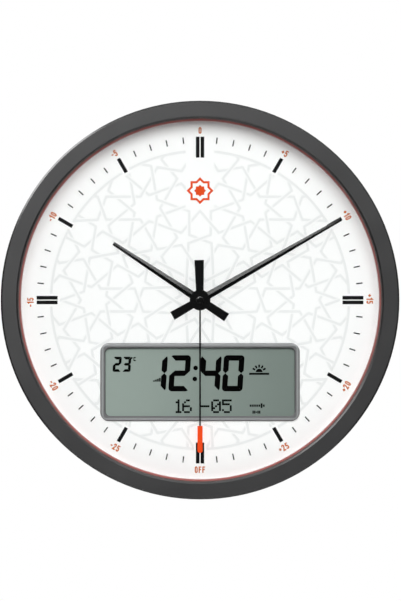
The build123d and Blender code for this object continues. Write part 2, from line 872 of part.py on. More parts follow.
with BuildPart() as bush_nut:
    nut_rear = dial_face + washer_thickness
    with BuildSketch(at_depth(nut_rear)) as nut_outline:
        RegularPolygon(nut_width / 2, 6, major_radius=False)
        Circle(bush_radius + touch, mode=Mode.SUBTRACT)
    extrude(nut_outline.sketch, amount=nut_thickness)
keep(bush_nut, "bush_nut")

# === Time train ==========================================================================================

with BuildPart() as centre_wheel:
    disc(minute_tube_radius, minute_tube_rear, minute_front)
    toothed_wheel(centre_teeth, train_module, centre_wheel_rear, centre_wheel_front, tooth_at=180)
    cannon_rear = motion_wheel_rear - layer_gap / 2
    cannon_tooth = 90 + 180 / cannon_teeth
    toothed_wheel(cannon_teeth, cannon_module, cannon_rear, motion_wheel_front, tooth_at=cannon_tooth)
    disc(index_shaft_radius + running, minute_tube_rear, minute_front, mode=Mode.SUBTRACT)
keep(centre_wheel, "centre_wheel")

with BuildPart() as third_wheel:
    pivoted_arbor(third_spot)
    toothed_wheel(reduction_teeth, train_module, third_wheel_rear, third_wheel_front, third_spot, 180)
    toothed_wheel(
        pinion_teeth,
        train_module,
        third_wheel_front,
        centre_wheel_front + layer_gap,
        third_spot,
        180 / pinion_teeth,
    )
keep(third_wheel, "third_wheel")

with BuildPart() as time_rotor:
    pivoted_arbor(time_rotor_spot)
    time_pinion_rear = third_wheel_rear - layer_gap / 2
    toothed_wheel(
        pinion_teeth,
        train_module,
        time_pinion_rear,
        third_wheel_front + layer_gap / 2,
        time_rotor_spot,
        180 / pinion_teeth,
    )
    time_magnet_rear = time_stator_rear + stator_thickness / 2 - rotor_magnet_height / 2
    disc(rotor_magnet_radius, time_magnet_rear, time_magnet_rear + rotor_magnet_height, time_rotor_spot)
keep(time_rotor, "time_rotor")

with BuildPart() as motion_wheel:
    toothed_wheel(motion_teeth, cannon_module, motion_wheel_rear, motion_wheel_front, motion_spot, 90)
    toothed_wheel(
        motion_pinion_teeth,
        hour_module,
        motion_wheel_front,
        gear_roof - layer_gap / 2,
        motion_spot,
        270 + 180 / motion_pinion_teeth,
    )
    disc(arbor_radius + running, motion_wheel_rear, gear_roof, motion_spot, mode=Mode.SUBTRACT)
keep(motion_wheel, "motion_wheel")

with BuildPart() as hour_wheel:
    disc(hour_tube_radius, hour_wheel_rear, hour_front)
    toothed_wheel(hour_teeth, hour_module, hour_wheel_rear, hour_wheel_rear + wheel_thickness, tooth_at=90)
    disc(minute_tube_radius + running, hour_wheel_rear, hour_front, mode=Mode.SUBTRACT)
keep(hour_wheel, "hour_wheel")

# === Index train =========================================================================================

with BuildPart() as index_wheel:
    disc(pivot_radius, gear_floor - pivot_length, gear_floor + end_play)
    disc(index_shaft_radius, gear_floor + end_play, index_front)
    toothed_wheel(centre_teeth, train_module, index_wheel_rear, index_wheel_front)
keep(index_wheel, "index_wheel")

with BuildPart() as index_reduction_wheel:
    pivoted_arbor(index_reduction_spot)
    toothed_wheel(
        reduction_teeth,
        train_module,
        index_reduction_rear,
        index_reduction_front,
        index_reduction_spot,
    )
    toothed_wheel(
        pinion_teeth,
        train_module,
        index_wheel_rear - layer_gap / 2,
        index_reduction_rear,
        index_reduction_spot,
        180 + 180 / pinion_teeth,
    )
keep(index_reduction_wheel, "index_reduction_wheel")

with BuildPart() as index_rotor:
    pivoted_arbor(index_rotor_spot)
    toothed_wheel(
        pinion_teeth,
        train_module,
        index_reduction_rear - layer_gap / 2,
        index_reduction_front + layer_gap / 2,
        index_rotor_spot,
        180 + 180 / pinion_teeth,
    )
    index_magnet_rear = index_stator_rear + stator_thickness / 2 - rotor_magnet_height / 2
    disc(rotor_magnet_radius, index_magnet_rear, index_magnet_rear + rotor_magnet_height, index_rotor_spot)
keep(index_rotor, "index_rotor")

# === Stators and coils ===================================================================================


def stator(side, rear):
    """A flat iron loop around a rotor, with a bar below that carries the coil."""
    loop_height = stator_top + stator_bottom
    loop_x = side * stator_x
    loop_centre = (loop_x, stator_top - loop_height / 2)
    window_top = stator_top - 2 * (rotor_magnet_radius + stator_air_gap) - stator_bar
    window_height = window_top + stator_bottom - stator_bar
    window_centre = (loop_x, window_top - window_height / 2)
    rotor_x = side * (first_distance + second_distance)
    slab(stator_width, loop_height, rear, rear + stator_thickness, loop_centre, stator_bar / 3)
    slab(coil_length + slip, window_height, rear, rear + stator_thickness, window_centre, mode=Mode.SUBTRACT)
    disc(
        rotor_magnet_radius + stator_air_gap,
        rear,
        rear + stator_thickness,
        (rotor_x, 0),
        mode=Mode.SUBTRACT,
    )


def coil(side, stator_rear):
    """A winding with two end cheeks, wrapped round a stator's bar."""
    bar_centre = (side * stator_x, stator_bar / 2 - stator_bottom)
    middle = stator_rear + stator_thickness / 2
    slab(coil_length, coil_width, middle - coil_height / 2, middle + coil_height / 2, bar_centre)
    slab(
        coil_length,
        stator_bar + 2 * touch,
        stator_rear - touch,
        stator_rear + stator_thickness + touch,
        bar_centre,
        mode=Mode.SUBTRACT,
    )


for name, side, stator_rear in (("time", -1, time_stator_rear), ("index", 1, index_stator_rear)):
    with BuildPart() as stator_piece:
        stator(side, stator_rear)
    keep(stator_piece, f"{name}_stator")
    with BuildPart() as coil_piece:
        coil(side, stator_rear)
    keep(coil_piece, f"{name}_coil")

# === Hand setting ========================================================================================

with BuildPart() as setting_gear:
    disc(setting_arbor_radius, floor_rear - knob_gap, motion_wheel_front + layer_gap / 2, setting_spot)
    disc(pivot_radius, motion_wheel_front, gear_roof + pivot_length, setting_spot)
    toothed_wheel(
        setting_teeth,
        cannon_module,
        motion_wheel_rear - layer_gap / 4,
        motion_wheel_front + layer_gap / 4,
        setting_spot,
        270 + 180 / setting_teeth,
    )
keep(setting_gear, "setting_gear")

with BuildPart() as setting_knob:
    knob_front = floor_rear - knob_gap
    toothed_wheel(knob_teeth, knob_module, knob_front - knob_thickness, knob_front, setting_spot)
keep(setting_knob, "setting_knob")

# === Hands ===============================================================================================

with BuildPart() as hour_hand:
    disc(hour_hub_radius, hour_rear, hour_front)
    ridged_arm(hour_bearing, hour_tube_radius, hour_length, hour_widths, hour_rear)
    flat_arm(hour_bearing + 180, 0, hour_tail, tail_widths, hour_rear, hour_front)
    disc(hour_tube_radius + touch / 2, hour_rear, hour_front, mode=Mode.SUBTRACT)
keep(hour_hand, "hour_hand")

with BuildPart() as minute_hand:
    disc(minute_hub_radius, minute_rear, minute_front)
    ridged_arm(minute_bearing, minute_tube_radius, minute_length, minute_widths, minute_rear)
    flat_arm(minute_bearing + 180, 0, minute_tail, tail_widths, minute_rear, minute_front)
    disc(minute_tube_radius + touch / 2, minute_rear, minute_front, mode=Mode.SUBTRACT)
keep(minute_hand, "minute_hand")

with BuildPart() as index_hand:
    disc(index_hub_radius, index_rear, index_front)
    flat_arm(index_bearing, 0, needle_end, (needle_width, needle_width), index_rear, index_front)
    tail_bearing = index_bearing + 180 - index_tail_lean
    flat_arm(tail_bearing, 0, index_tail, index_tail_widths, index_rear, index_front)
    disc(index_shaft_radius + touch / 2, index_rear, index_front, mode=Mode.SUBTRACT)
keep(index_hand, "index_hand")

with BuildPart() as index_tip:
    round_spot_radius = needle_end + index_tip_length - index_tip_width / 2
    flat_arm(
        index_bearing,
        needle_end,
        round_spot_radius,
        (index_tip_width, index_tip_width),
        index_rear,
        index_front,
    )
    disc(index_tip_width / 2, index_rear, index_front, spot_on_circle(round_spot_radius, index_bearing))
keep(index_tip, "index_tip")

with BuildPart() as hub_cap:
    disc(cap_radius, index_front, index_front + cap_height)
    cap_rim = hub_cap.faces().sort_by(Axis.Y)[0].edges()
    fillet(cap_rim, cap_height * cap_round_share)
keep(hub_cap, "hub_cap")

# === Batteries, contacts and cover =======================================================================

cell_left = bay_centre[0] - bay_length / 2 + contact_thickness + spring_length
spring_seat = bay_centre[0] - bay_length / 2 + contact_thickness
contact_right = bay_centre[0] + bay_length / 2

with BuildPart() as batteries:
    for cell_z in cell_heights:
        cell_plane = Plane(origin=(cell_left, -cell_depth, cell_z), x_dir=(0, 0, 1), z_dir=(1, 0, 0))
        with BuildSketch(cell_plane) as cell_body:
            Circle(cell_radius)
        extrude(cell_body.sketch, amount=cell_body_length)
        with BuildSketch(cell_plane) as cell_nub:
            Circle(cell_nub_radius)
        extrude(cell_nub.sketch, amount=cell_body_length + cell_nub_length)
keep(batteries, "batteries")

with BuildPart() as battery_contacts:
    for cell_z in cell_heights:
        for face_x, side in ((bay_centre[0] - bay_length / 2, 1), (contact_right, -1)):
            contact_plane = Plane(origin=(face_x, -cell_depth, cell_z), x_dir=(0, 0, 1), z_dir=(side, 0, 0))
            with BuildSketch(contact_plane) as contact:
                Rectangle(contact_width, contact_width)
            extrude(contact.sketch, amount=contact_thickness)
keep(battery_contacts, "battery_contacts")

with BuildPart() as battery_springs:
    for cell_z in cell_heights:
        coil_start = spring_seat + spring_wire_radius + touch
        coil_run = spring_length - 2 * (spring_wire_radius + touch)
        spring_plane = Plane(origin=(coil_start, -cell_depth, cell_z), x_dir=(0, 0, 1), z_dir=(1, 0, 0))
        helix = Helix(pitch=coil_run / spring_turns, height=coil_run, radius=spring_radius)
        path = helix.moved(spring_plane.location)
        with BuildSketch(Plane(origin=path @ 0, z_dir=path % 0)) as wire:
            Circle(spring_wire_radius)
        sweep(wire.sketch, path=path)
keep(battery_springs, "battery_springs")

with BuildPart() as battery_cover:
    slab(cover_width, cover_height, floor_rear, cover_front, bay_centre)
    notch_spot = (bay_centre[0], bay_centre[1] + cover_height / 2 - notch_height / 2)
    slab(notch_width, notch_height, floor_rear, hinge_depth, notch_spot, mode=Mode.SUBTRACT)
    pin_start = bay_centre[0] - cover_width / 2 - hinge_pin_length + running
    pin_plane = Plane(origin=(pin_start, -hinge_depth, hinge_spot_z), x_dir=(0, 0, 1), z_dir=(1, 0, 0))
    with BuildSketch(pin_plane) as hinge_pin:
        Circle(hinge_pin_radius)
    extrude(hinge_pin.sketch, amount=cover_width + 2 * (hinge_pin_length - running))
    hinge_edge = battery_cover.edges().filter_by(Axis.X).group_by(Axis.Z)[0]
    fillet(hinge_edge, cover_thickness * hinge_round_share)
keep(battery_cover, "battery_cover")

# === Speaker =============================================================================================

flange_front = floor_front + speaker_flange_thickness
basket_front = flange_front + basket_depth
cone_edge = speaker_radius - speaker_flange

with BuildPart() as speaker_frame:
    turned(
        [
            (cone_edge, floor_front),
            (speaker_radius, floor_front),
            (speaker_radius, flange_front),
            (cone_edge + basket_wall, flange_front),
            (magnet_radius, basket_front),
            (magnet_radius, basket_front + basket_wall),
            (voice_radius + basket_wall, basket_front + basket_wall),
            (voice_radius + basket_wall, basket_front),
            (magnet_radius - basket_wall, basket_front),
            (cone_edge, flange_front),
        ],
        speaker_centre,
    )
keep(speaker_frame, "speaker_frame")

with BuildPart() as speaker_magnet:
    magnet_rear = basket_front + basket_wall
    disc(magnet_radius, magnet_rear, magnet_rear + magnet_thickness, speaker_centre, hole=magnet_hole_radius)
    yoke_rear = magnet_rear + magnet_thickness
    disc(magnet_radius, yoke_rear, yoke_rear + basket_wall, speaker_centre)
keep(speaker_magnet, "speaker_magnet")

with BuildPart() as speaker_cone:
    cone_rear = floor_front + cone_thickness
    cone_front = basket_front - basket_wall
    turned(
        [
            (0, cone_front - voice_radius / 2),
            (voice_radius, cone_front),
            (cone_edge - slip, cone_rear),
            (cone_edge - slip, cone_rear + cone_thickness),
            (voice_radius, cone_front + cone_thickness),
            (0, cone_front - voice_radius / 2 + cone_thickness),
        ],
        speaker_centre,
    )
keep(speaker_cone, "speaker_cone")

with BuildPart() as speaker_clamp:
    clamp_front = flange_front + speaker_flange_thickness
    disc(speaker_radius + basket_wall, flange_front, clamp_front, speaker_centre)
    for screw_spot in clamp_screw_spots:
        disc(clamp_ear_radius, flange_front, clamp_front, screw_spot)
        disc(small_screw_radius + slip, flange_front, clamp_front, screw_spot, mode=Mode.SUBTRACT)
    disc(cone_edge + 2 * basket_wall, flange_front, clamp_front, speaker_centre, mode=Mode.SUBTRACT)
keep(speaker_clamp, "speaker_clamp")

# === Rear buttons and switches ===========================================================================

switch_rear = button_board_rear - switch_height
plunger_rear = switch_rear - plunger_height
stem_front = plunger_rear - button_travel - running

for name, button_x in button_spots.items():
    with BuildPart() as button:
        button_spot = (button_x, button_row_z)
        disc(button_radius, floor_rear - button_proud, floor_front + running, button_spot)
        cap_edge = button.faces().sort_by(Axis.Y)[-1].edges()
        fillet(cap_edge, button_proud / 3)
        disc(
            button_flange_radius,
            floor_front + running,
            floor_front + running + button_flange_thickness,
            button_spot,
        )
        disc(button_stem_radius, floor_front, stem_front, button_spot)
    keep(button, name)

with BuildPart() as button_board:
    slab(
        button_board_width,
        button_board_height,
        button_board_rear,
        button_board_rear + board_thickness,
        (0, button_row_z),
    )
    for screw_spot in button_screw_spots:
        disc(
            small_screw_radius + slip,
            button_board_rear,
            button_board_rear + board_thickness,
            screw_spot,
            mode=Mode.SUBTRACT,
        )
keep(button_board, "button_board")

with BuildPart() as tact_switches:
    for button_x in button_spots.values():
        slab(switch_size, switch_size, switch_rear, button_board_rear, (button_x, button_row_z))
        disc(plunger_radius, plunger_rear, switch_rear, (button_x, button_row_z))
keep(tact_switches, "tact_switches")

with BuildPart() as slide_switch_body:
    slide_body_rear = floor_front + button_flange_thickness + 2 * slip
    slab(
        slide_body_width,
        slide_body_height,
        slide_body_rear,
        button_board_rear,
        (slide_spot_x, button_row_z),
    )
keep(slide_switch_body, "slide_switch_body")

with BuildPart() as slide_switch_knob:
    knob_x = slide_spot_x - slide_travel / 2
    knob_spot = (knob_x, button_row_z)
    slab(slide_knob_size, slide_knob_size, floor_rear - slide_knob_proud, floor_front + slip, knob_spot)
    slab(
        slide_knob_size + slide_travel,
        slide_knob_size + 2 * button_flange_thickness,
        floor_front + slip,
        floor_front + slip + button_flange_thickness,
        knob_spot,
    )
keep(slide_switch_knob, "slide_switch_knob")

# === Screws and leads ====================================================================================

small_screw_sizes = (small_screw_radius, small_screw_head_radius, small_screw_head_height)

with BuildPart() as small_screws:
    for screw_spot in board_screw_spots:
        pan_screw(screw_spot, board_rear, board_thickness + screw_shank, *small_screw_sizes)
    for screw_spot in hanger_screw_spots:
        pan_screw(screw_spot, floor_rear, hanger_thickness + screw_shank, *small_screw_sizes)
    for screw_spot in button_screw_spots:
        board_screw_seat = button_board_rear + board_thickness
        pan_screw(screw_spot, board_screw_seat, screw_shank, *small_screw_sizes, driven=-1)
    for screw_spot in clamp_screw_spots:
        clamp_screw_length = clamp_front - floor_rear - shell_floor / 2
        pan_screw(screw_spot, clamp_front, clamp_screw_length, *small_screw_sizes, driven=-1)
keep(small_screws, "small_screws")


def lead(points):
    """An insulated wire along straight runs, joined by arcs as large as the runs allow."""
    corners = [Vector(x, -depth, z) for x, z, depth in points]
    runs = [end - start for start, end in zip(corners, corners[1:])]
    radii = []
    for run, next_run in zip(runs, runs[1:]):
        half_turn = radians(run.get_angle(next_run)) / 2
        radii.append(bend_share * min(run.length, next_run.length) / tan(half_turn))
    print("lead bend radii", [round(radius, 1) for radius in radii])
    with BuildLine() as route:
        FilletPolyline(*corners, radius=radii)
    with BuildSketch(Plane(origin=route.line @ 0, z_dir=route.line % 0)) as wire:
        Circle(lead_radius)
    sweep(wire.sketch, path=route.line)


bay_bottom = bay_centre[1] - cover_height / 2 - cover_gap - bay_wall
button_board_bottom = button_row_z - button_board_height / 2
button_lead_depth = button_board_rear + board_thickness / 2
speaker_lead_x = speaker_centre[0] - magnet_radius

with BuildPart() as internal_leads:
    lead(
        [
            (battery_lead_x, bay_bottom, battery_lead_depth),
            (battery_lead_x, bay_bottom - battery_lead_run, battery_lead_depth),
            battery_lead_bend,
            (*battery_lead_landing, board_lead_depth),
            (*battery_lead_landing, board_rear),
        ]
    )
    lead(
        [
            (button_lead_x, button_board_bottom, button_lead_depth),
            (button_lead_x, button_board_bottom - button_lead_run, button_lead_depth),
            *button_lead_bends,
            (*button_lead_landing, board_lead_depth),
            (*button_lead_landing, board_rear),
        ]
    )
    lead(
        [
            (speaker_lead_x, speaker_centre[1], speaker_lead_depth),
            (speaker_lead_x - speaker_lead_run, speaker_centre[1], speaker_lead_depth),
            *speaker_lead_bends,
            (*speaker_lead_landing, board_lead_depth),
            (*speaker_lead_landing, board_rear),
        ]
    )
    lead(
        [
            (movement_lead_x, movement_bottom, movement_lead_depth),
            (movement_lead_x, movement_bottom - movement_lead_run, movement_lead_depth),
            (*movement_lead_landing, movement_lead_landing_depth),
            (*movement_lead_landing, board_rear),
        ]
    )
keep(internal_leads, "internal_leads")
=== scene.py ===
"""Finishes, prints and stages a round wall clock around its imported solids."""

import json
import math

import bmesh
import bpy
from mathutils import Matrix, Vector


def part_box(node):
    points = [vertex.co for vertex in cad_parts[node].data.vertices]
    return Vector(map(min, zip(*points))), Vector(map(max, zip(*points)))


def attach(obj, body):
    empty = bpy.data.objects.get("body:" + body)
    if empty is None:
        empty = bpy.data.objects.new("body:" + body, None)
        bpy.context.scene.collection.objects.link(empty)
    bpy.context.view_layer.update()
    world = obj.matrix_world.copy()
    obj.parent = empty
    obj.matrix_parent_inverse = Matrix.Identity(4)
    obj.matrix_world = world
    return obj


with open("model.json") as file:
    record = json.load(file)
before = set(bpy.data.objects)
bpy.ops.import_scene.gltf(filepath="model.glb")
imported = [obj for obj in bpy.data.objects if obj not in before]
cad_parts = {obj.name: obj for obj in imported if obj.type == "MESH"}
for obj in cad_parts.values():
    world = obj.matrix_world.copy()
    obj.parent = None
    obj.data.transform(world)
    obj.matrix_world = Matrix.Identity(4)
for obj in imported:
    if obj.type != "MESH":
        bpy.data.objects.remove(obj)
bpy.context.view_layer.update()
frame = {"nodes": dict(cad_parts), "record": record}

bl_info = {
    "name": "Wall clock finishes",
    "version": (1, 0, 0),
    "blender": (4, 5, 0),
    "location": "View3D > Sidebar > Clock",
    "description": "Prints the dial and the display, finishes every piece and sets the stage",
    "category": "Object",
}

MM = 0.001
QUARTER = math.pi / 2
TURN = 2 * math.pi
SUNK = 0.01 * MM  # How far print reaches into the surface that it is on.

# Lengths in millimetres.
WIRE_PITCH = 0.16  # From one turn of a coil's wire to the next.
TRIM_CORNER = 5.0  # Corner radius of the display's frame.
SAME_SPOT = 0.02  # Points of a printed line that are nearer than this are one point.
SHORTEST = 0.6  # A printed line of one stretch is left out if it is shorter.

# Widths of a cut across a printed line, in shares of the line's width.
FLAT_CUT = 2.2  # A loose end whose cut would be wider is cut square.
WIDEST_CUT = 3.5  # No mitre is wider.

# Places that the solids give. The dial faces -Y, so a face further forward has a smaller y.
DIAL_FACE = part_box("dial_plate")[0].y
PANEL_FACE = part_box("panel_glass")[0].y
TRIM_LOW, TRIM_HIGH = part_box("panel_trim")
COVER_LOW, COVER_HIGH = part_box("battery_cover")
KNOB_LOW, KNOB_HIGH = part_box("setting_knob")


def tone(red, green, blue):
    """The linear colour of a display colour given from 0 to 255."""
    shares = (red / 255, green / 255, blue / 255)
    return tuple(s / 12.92 if s <= 0.04045 else ((s + 0.055) / 1.055) ** 2.4 for s in shares)


def shaded(colour, share):
    """A colour made darker or lighter by a share."""
    return tuple(min(channel * share, 1.0) for channel in colour)


# === Node trees as expressions ===========================================================================


class Field:
    """What a node gives. Sums, products and comparisons of it add Math nodes to its sheet."""

    def __init__(self, sheet, socket):
        self.sheet = sheet
        self.socket = socket

    def __add__(self, other):
        return self.sheet.math("ADD", self, other)

    def __sub__(self, other):
        return self.sheet.math("SUBTRACT", self, other)

    def __rsub__(self, other):
        return self.sheet.math("SUBTRACT", other, self)

    def __mul__(self, other):
        return self.sheet.math("MULTIPLY", self, other)

    def __truediv__(self, other):
        return self.sheet.math("DIVIDE", self, other)

    def __mod__(self, other):
        return self.sheet.math("FLOORED_MODULO", self, other)

    def __lt__(self, other):
        return self.sheet.math("LESS_THAN", self, other)

    def __gt__(self, other):
        return self.sheet.math("GREATER_THAN", self, other)

    def __abs__(self):
        return self.sheet.math("ABSOLUTE", self)

    __radd__ = __add__
    __rmul__ = __mul__


class Sheet:
    """A node tree that is written node by node."""

    def __init__(self, tree):
        self.tree = tree
        tree.nodes.clear()

    def node(self, kind, settings=None, inputs=None, output=0):
        """Adds a node, sets it up, feeds its sockets and gives one of its outputs."""
        node = self.tree.nodes.new(kind)
        for name, value in (settings or {}).items():
            setattr(node, name, value)
        for key, value in (inputs or {}).items():
            if isinstance(value, Field):
                self.tree.links.new(value.socket, node.inputs[key])
            else:
                node.inputs[key].default_value = value
        if output is None:
            return None
        return Field(self, node.outputs[output])

    def math(self, operation, *values):
        return self.node("ShaderNodeMath", {"operation": operation}, dict(enumerate(values)))


class Finish(Sheet):
    """A material whose patterns are laid out in millimetres in the clock's own frame."""

    def __init__(self, name):
        self.material = bpy.data.materials.new(name)
        self.material.use_nodes = True
        super().__init__(self.material.node_tree)
        place = self.node("ShaderNodeTexCoord", output="Object")
        self.place = self.node("ShaderNodeVectorMath", {"operation": "SCALE"}, {0: place, "Scale": 1 / MM})

    def axis(self, name):
        """One coordinate in millimetres."""
        return self.node("ShaderNodeSeparateXYZ", inputs={0: self.place}, output="XYZ".index(name))

    def radius(self, centre_x=0.0, centre_z=0.0):
        """The distance from a line that runs front to back."""
        across, up = self.axis("X") - centre_x, self.axis("Z") - centre_z
        return self.math("SQRT", across * across + up * up)

    def noise(self, size, detail=2.0, stretch=(1, 1, 1)):
        """Noise from 0 to 1 with spots of a size in millimetres, drawn out along the stretched axes."""
        place = self.node("ShaderNodeMapping", inputs={0: self.place, "Scale": [1 / s for s in stretch]})
        return self.node("ShaderNodeTexNoise", inputs={0: place, "Scale": 1 / size, "Detail": detail})

    def cells(self, size, output="Distance"):
        """Cells of a size in millimetres: the distance from their middles, or their colours."""
        return self.node("ShaderNodeTexVoronoi", inputs={0: self.place, "Scale": 1 / size}, output=output)

    def ramp(self, value, low, high, start=0.0, end=1.0):
        """A smooth step from start to end as the value goes from low to high."""
        limits = {0: value, 1: low, 2: high, 3: start, 4: end}
        return self.node("ShaderNodeMapRange", {"interpolation_type": "SMOOTHSTEP"}, limits)

    def blend(self, share, first, second):
        """A colour between two colours."""
        first = first if isinstance(first, Field) else (*first, 1)
        second = second if isinstance(second, Field) else (*second, 1)
        inputs = {0: share, 6: first, 7: second}
        return self.node("ShaderNodeMix", {"data_type": "RGBA"}, inputs, 2)

    def mottled(self, colour, share, spread):
        """A colour that varies by a spread as a share goes from 0 to 1."""
        return self.blend(share, shaded(colour, 1 - spread), shaded(colour, 1 + spread))

    def bump(self, height, depth):
        """A normal for a height from 0 to 1 that stands for a depth in millimetres."""
        return self.node("ShaderNodeBump", inputs={"Strength": 1.0, "Distance": depth * MM, "Height": height})

    def surface(self, colour, roughness, normal=None, **constants):
        """Ends the tree in one Principled shader and gives the material."""
        inputs = {name.replace("_", " ").title(): value for name, value in constants.items()}
        inputs = {name.replace("Ior", "IOR"): value for name, value in inputs.items()}
        inputs["Base Color"] = colour if isinstance(colour, Field) else (*colour, 1)
        inputs["Roughness"] = roughness
        if normal is not None:
            inputs["Normal"] = normal
        return self.end(self.node("ShaderNodeBsdfPrincipled", inputs=inputs))

    def end(self, shader):
        self.node("ShaderNodeOutputMaterial", inputs={"Surface": shader}, output=None)
        return self.material


# === Finishes ============================================================================================


def moulded_plastic(name, colour, roughness=0.5, grain=0.35, depth=0.006):
    """Plastic from a spark-eroded mould: a fine grain, faint flow marks and a few dull scuffs."""
    finish = Finish(name)
    flow = finish.noise(38, 3)
    grained = finish.noise(grain, 2)
    scuffs = finish.ramp(finish.noise(9, 5, (1, 1, 3)), 0.62, 0.74)
    dull = finish.math("MINIMUM", roughness + (flow - 0.5) * 0.12 + scuffs * 0.08, 1.0)
    return finish.surface(finish.mottled(colour, flow, 0.05), dull, finish.bump(grained, depth))


def bezel_plastic(name, settings):
    """Dark satin plastic, duller on its flank and rubbed a little paler where the outer edge is handled."""
    finish = Finish(name)
    flow = finish.noise(45, 3)
    grained = finish.noise(0.32, 2)
    rubbed = finish.ramp(finish.noise(6, 4), 0.45, 0.75) * finish.ramp(finish.radius(), 172.5, 174.6)
    body = finish.mottled(settings.bezel_colour, flow, 0.04)
    colour = finish.blend(rubbed * 0.35, body, shaded(settings.bezel_colour, 1.8))
    polished = finish.ramp(finish.radius(), 173.0, 174.2)
    flank = finish.ramp(finish.axis("Y"), -46.2, -45.0)
    face = settings.bezel_roughness + (flow - 0.5) * 0.08 - polished * 0.1
    dull = face * (1 - flank) + flank * (0.98 - flow * 0.06)
    return finish.surface(colour, dull, finish.bump(grained, 0.003), specular_ior_level=0.6)


def tinted_plastic(name, settings):
    """Plastic of the ring between the dial and the lens: coral, with a painted reflection of the white dial
    near its foot and painted shade under the lens.
    """
    finish = Finish(name)
    depth = finish.axis("Y")
    ahead = DIAL_FACE / MM - depth
    rings = finish.math("SINE", depth * 9.0) * 0.5 + 0.5
    cloud = finish.noise(20, 2)
    colour = finish.mottled(settings.accent_colour, cloud, 0.05)
    # Painted reflection: the ring's foot is blended towards the dial's white, as if it mirrored the dial.
    colour = finish.blend(finish.ramp(ahead, 0.0, 4.0, 0.7, 0.0), colour, settings.dial_colour)
    # Painted shade: the ring's front, under the lens and the bezel's lip, is blended towards a dark colour.
    colour = finish.blend(finish.ramp(ahead, 6.5, 9.0), colour, settings.accent_painted_shade)
    dull = 0.5 + (cloud - 0.5) * 0.1
    return finish.surface(colour, dull, finish.bump(rings, 0.004), specular_ior_level=0.2)


def dial_paper(name, settings):
    """White lacquered sheet with a fine tooth and a hardly visible cloud."""
    finish = Finish(name)
    tooth = finish.noise(0.5, 3)
    cloud = finish.noise(30, 2)
    colour = finish.mottled(settings.dial_colour, cloud, 0.004)
    dull = 0.62 + (tooth - 0.5) * 0.1
    return finish.surface(colour, dull, finish.bump(tooth, 0.003), specular_ior_level=0.2)


def ink(name, colour, roughness=0.6, gloss=0.06):
    """Screen-printed ink: nearly even, with the speckle of the mesh."""
    finish = Finish(name)
    speckle = finish.noise(0.25, 2)
    cover = finish.mottled(colour, speckle, 0.03)
    dull = roughness + (speckle - 0.5) * 0.1
    return finish.surface(cover, dull, finish.bump(speckle, 0.001), specular_ior_level=gloss)


def satin_paint(name, colour, roughness=0.16, fleck=0.12, gloss=0.4):
    """Sprayed satin paint on stamped metal, with a light orange peel."""
    finish = Finish(name)
    peel = finish.noise(0.9, 2)
    flecks = finish.cells(fleck, "Color")
    cloud = finish.node("ShaderNodeSeparateColor", inputs={0: flecks})
    cover = finish.mottled(colour, cloud, 0.12)
    dull = roughness + (peel - 0.5) * 0.08
    return finish.surface(cover, dull, finish.bump(peel, 0.004), specular_ior_level=gloss)


def rolled_metal(name, colour, roughness, stretch=(9, 1, 1)):
    """Sheet or wire metal with the fine lines of rolling or drawing, and a few stains."""
    finish = Finish(name)
    lines = finish.noise(0.12, 3, stretch)
    stains = finish.noise(5, 4)
    cover = finish.mottled(colour, stains, 0.12)
    dull = roughness + (lines - 0.5) * 0.16 + (stains - 0.5) * 0.14
    return finish.surface(cover, dull, finish.bump(lines, 0.003), metallic=1.0)


def zinc_plate(name, colour):
    """Zinc-plated steel with soft crystal spangles."""
    finish = Finish(name)
    spangle = finish.node("ShaderNodeSeparateColor", inputs={0: finish.cells(2.4, "Color")})
    lines = finish.noise(0.15, 2, (8, 1, 1))
    cover = finish.mottled(colour, spangle, 0.14)
    dull = 0.36 + (spangle - 0.5) * 0.14
    return finish.surface(cover, dull, finish.bump(lines, 0.003), metallic=1.0)


def screw_steel(name, colour):
    """Blackened or bright screw steel, worn at the drive."""
    finish = Finish(name)
    lines = finish.noise(0.2, 4)
    wear = finish.ramp(finish.noise(0.8, 3), 0.5, 0.7)
    cover = finish.blend(wear, colour, shaded(colour, 1.35))
    return finish.surface(cover, 0.42 - wear * 0.12, finish.bump(lines, 0.004), metallic=1.0)


def wound_wire(name, colour):
    """Lacquered copper wire laid side by side along X."""
    finish = Finish(name)
    turns = finish.math("SINE", finish.axis("X") * (TURN / WIRE_PITCH)) * 0.5 + 0.5
    cloud = finish.noise(1.5, 2)
    cover = finish.mottled(colour, turns * 0.6 + cloud * 0.4, 0.25)
    return finish.surface(cover, 0.3 + cloud * 0.1, finish.bump(turns, 0.03), metallic=0.8)


def circuit_board(name, colour):
    """Solder mask over straight copper tracks, with tinned pads."""
    finish = Finish(name)
    across, up = finish.axis("X"), finish.axis("Z")
    bands = (finish.math("FLOOR", up / 6.0) % 2.0) > 0.5
    upright = (across % 1.9) < 0.55
    level = (up % 1.7) < 0.5
    tracks = bands * upright + (1 - bands) * level
    broken = finish.noise(7, 2) > 0.5
    pads = finish.ramp(finish.cells(4.2), 0.10, 0.13, 1.0, 0.0)
    cover = finish.blend(tracks * broken, colour, shaded(colour, 1.6))
    cover = finish.blend(pads, cover, tone(196, 192, 178))
    return finish.surface(cover, 0.35 + pads * 0.1, finish.bump(tracks * broken + pads, 0.02))


def chip_resin(name, colour):
    """Filled resin of the chips, with tinned ends where a part is small."""
    finish = Finish(name)
    grit = finish.noise(0.18, 4)
    cover = finish.mottled(colour, grit, 0.25)
    return finish.surface(cover, 0.55 + (grit - 0.5) * 0.2, finish.bump(grit, 0.01))


def cell_wrap(name, colour):
    """A dry cell's printed wrap: a dark body with a copper-coloured band at its plus end."""
    finish = Finish(name)
    low, high = (corner.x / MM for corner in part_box("batteries"))
    along = finish.axis("X")
    band = finish.ramp(along, high - 16.2, high - 16.0)
    metal = finish.math("MAXIMUM", along < low + 0.7, along > high - 2.4)
    print_grain = finish.noise(0.3, 2)
    cover = finish.blend(band, finish.mottled(colour, print_grain, 0.08), tone(184, 115, 62))
    cover = finish.blend(metal, cover, tone(190, 190, 186))
    dull = 0.34 + print_grain * 0.08
    return finish.surface(cover, dull, finish.bump(print_grain, 0.002), metallic=metal)


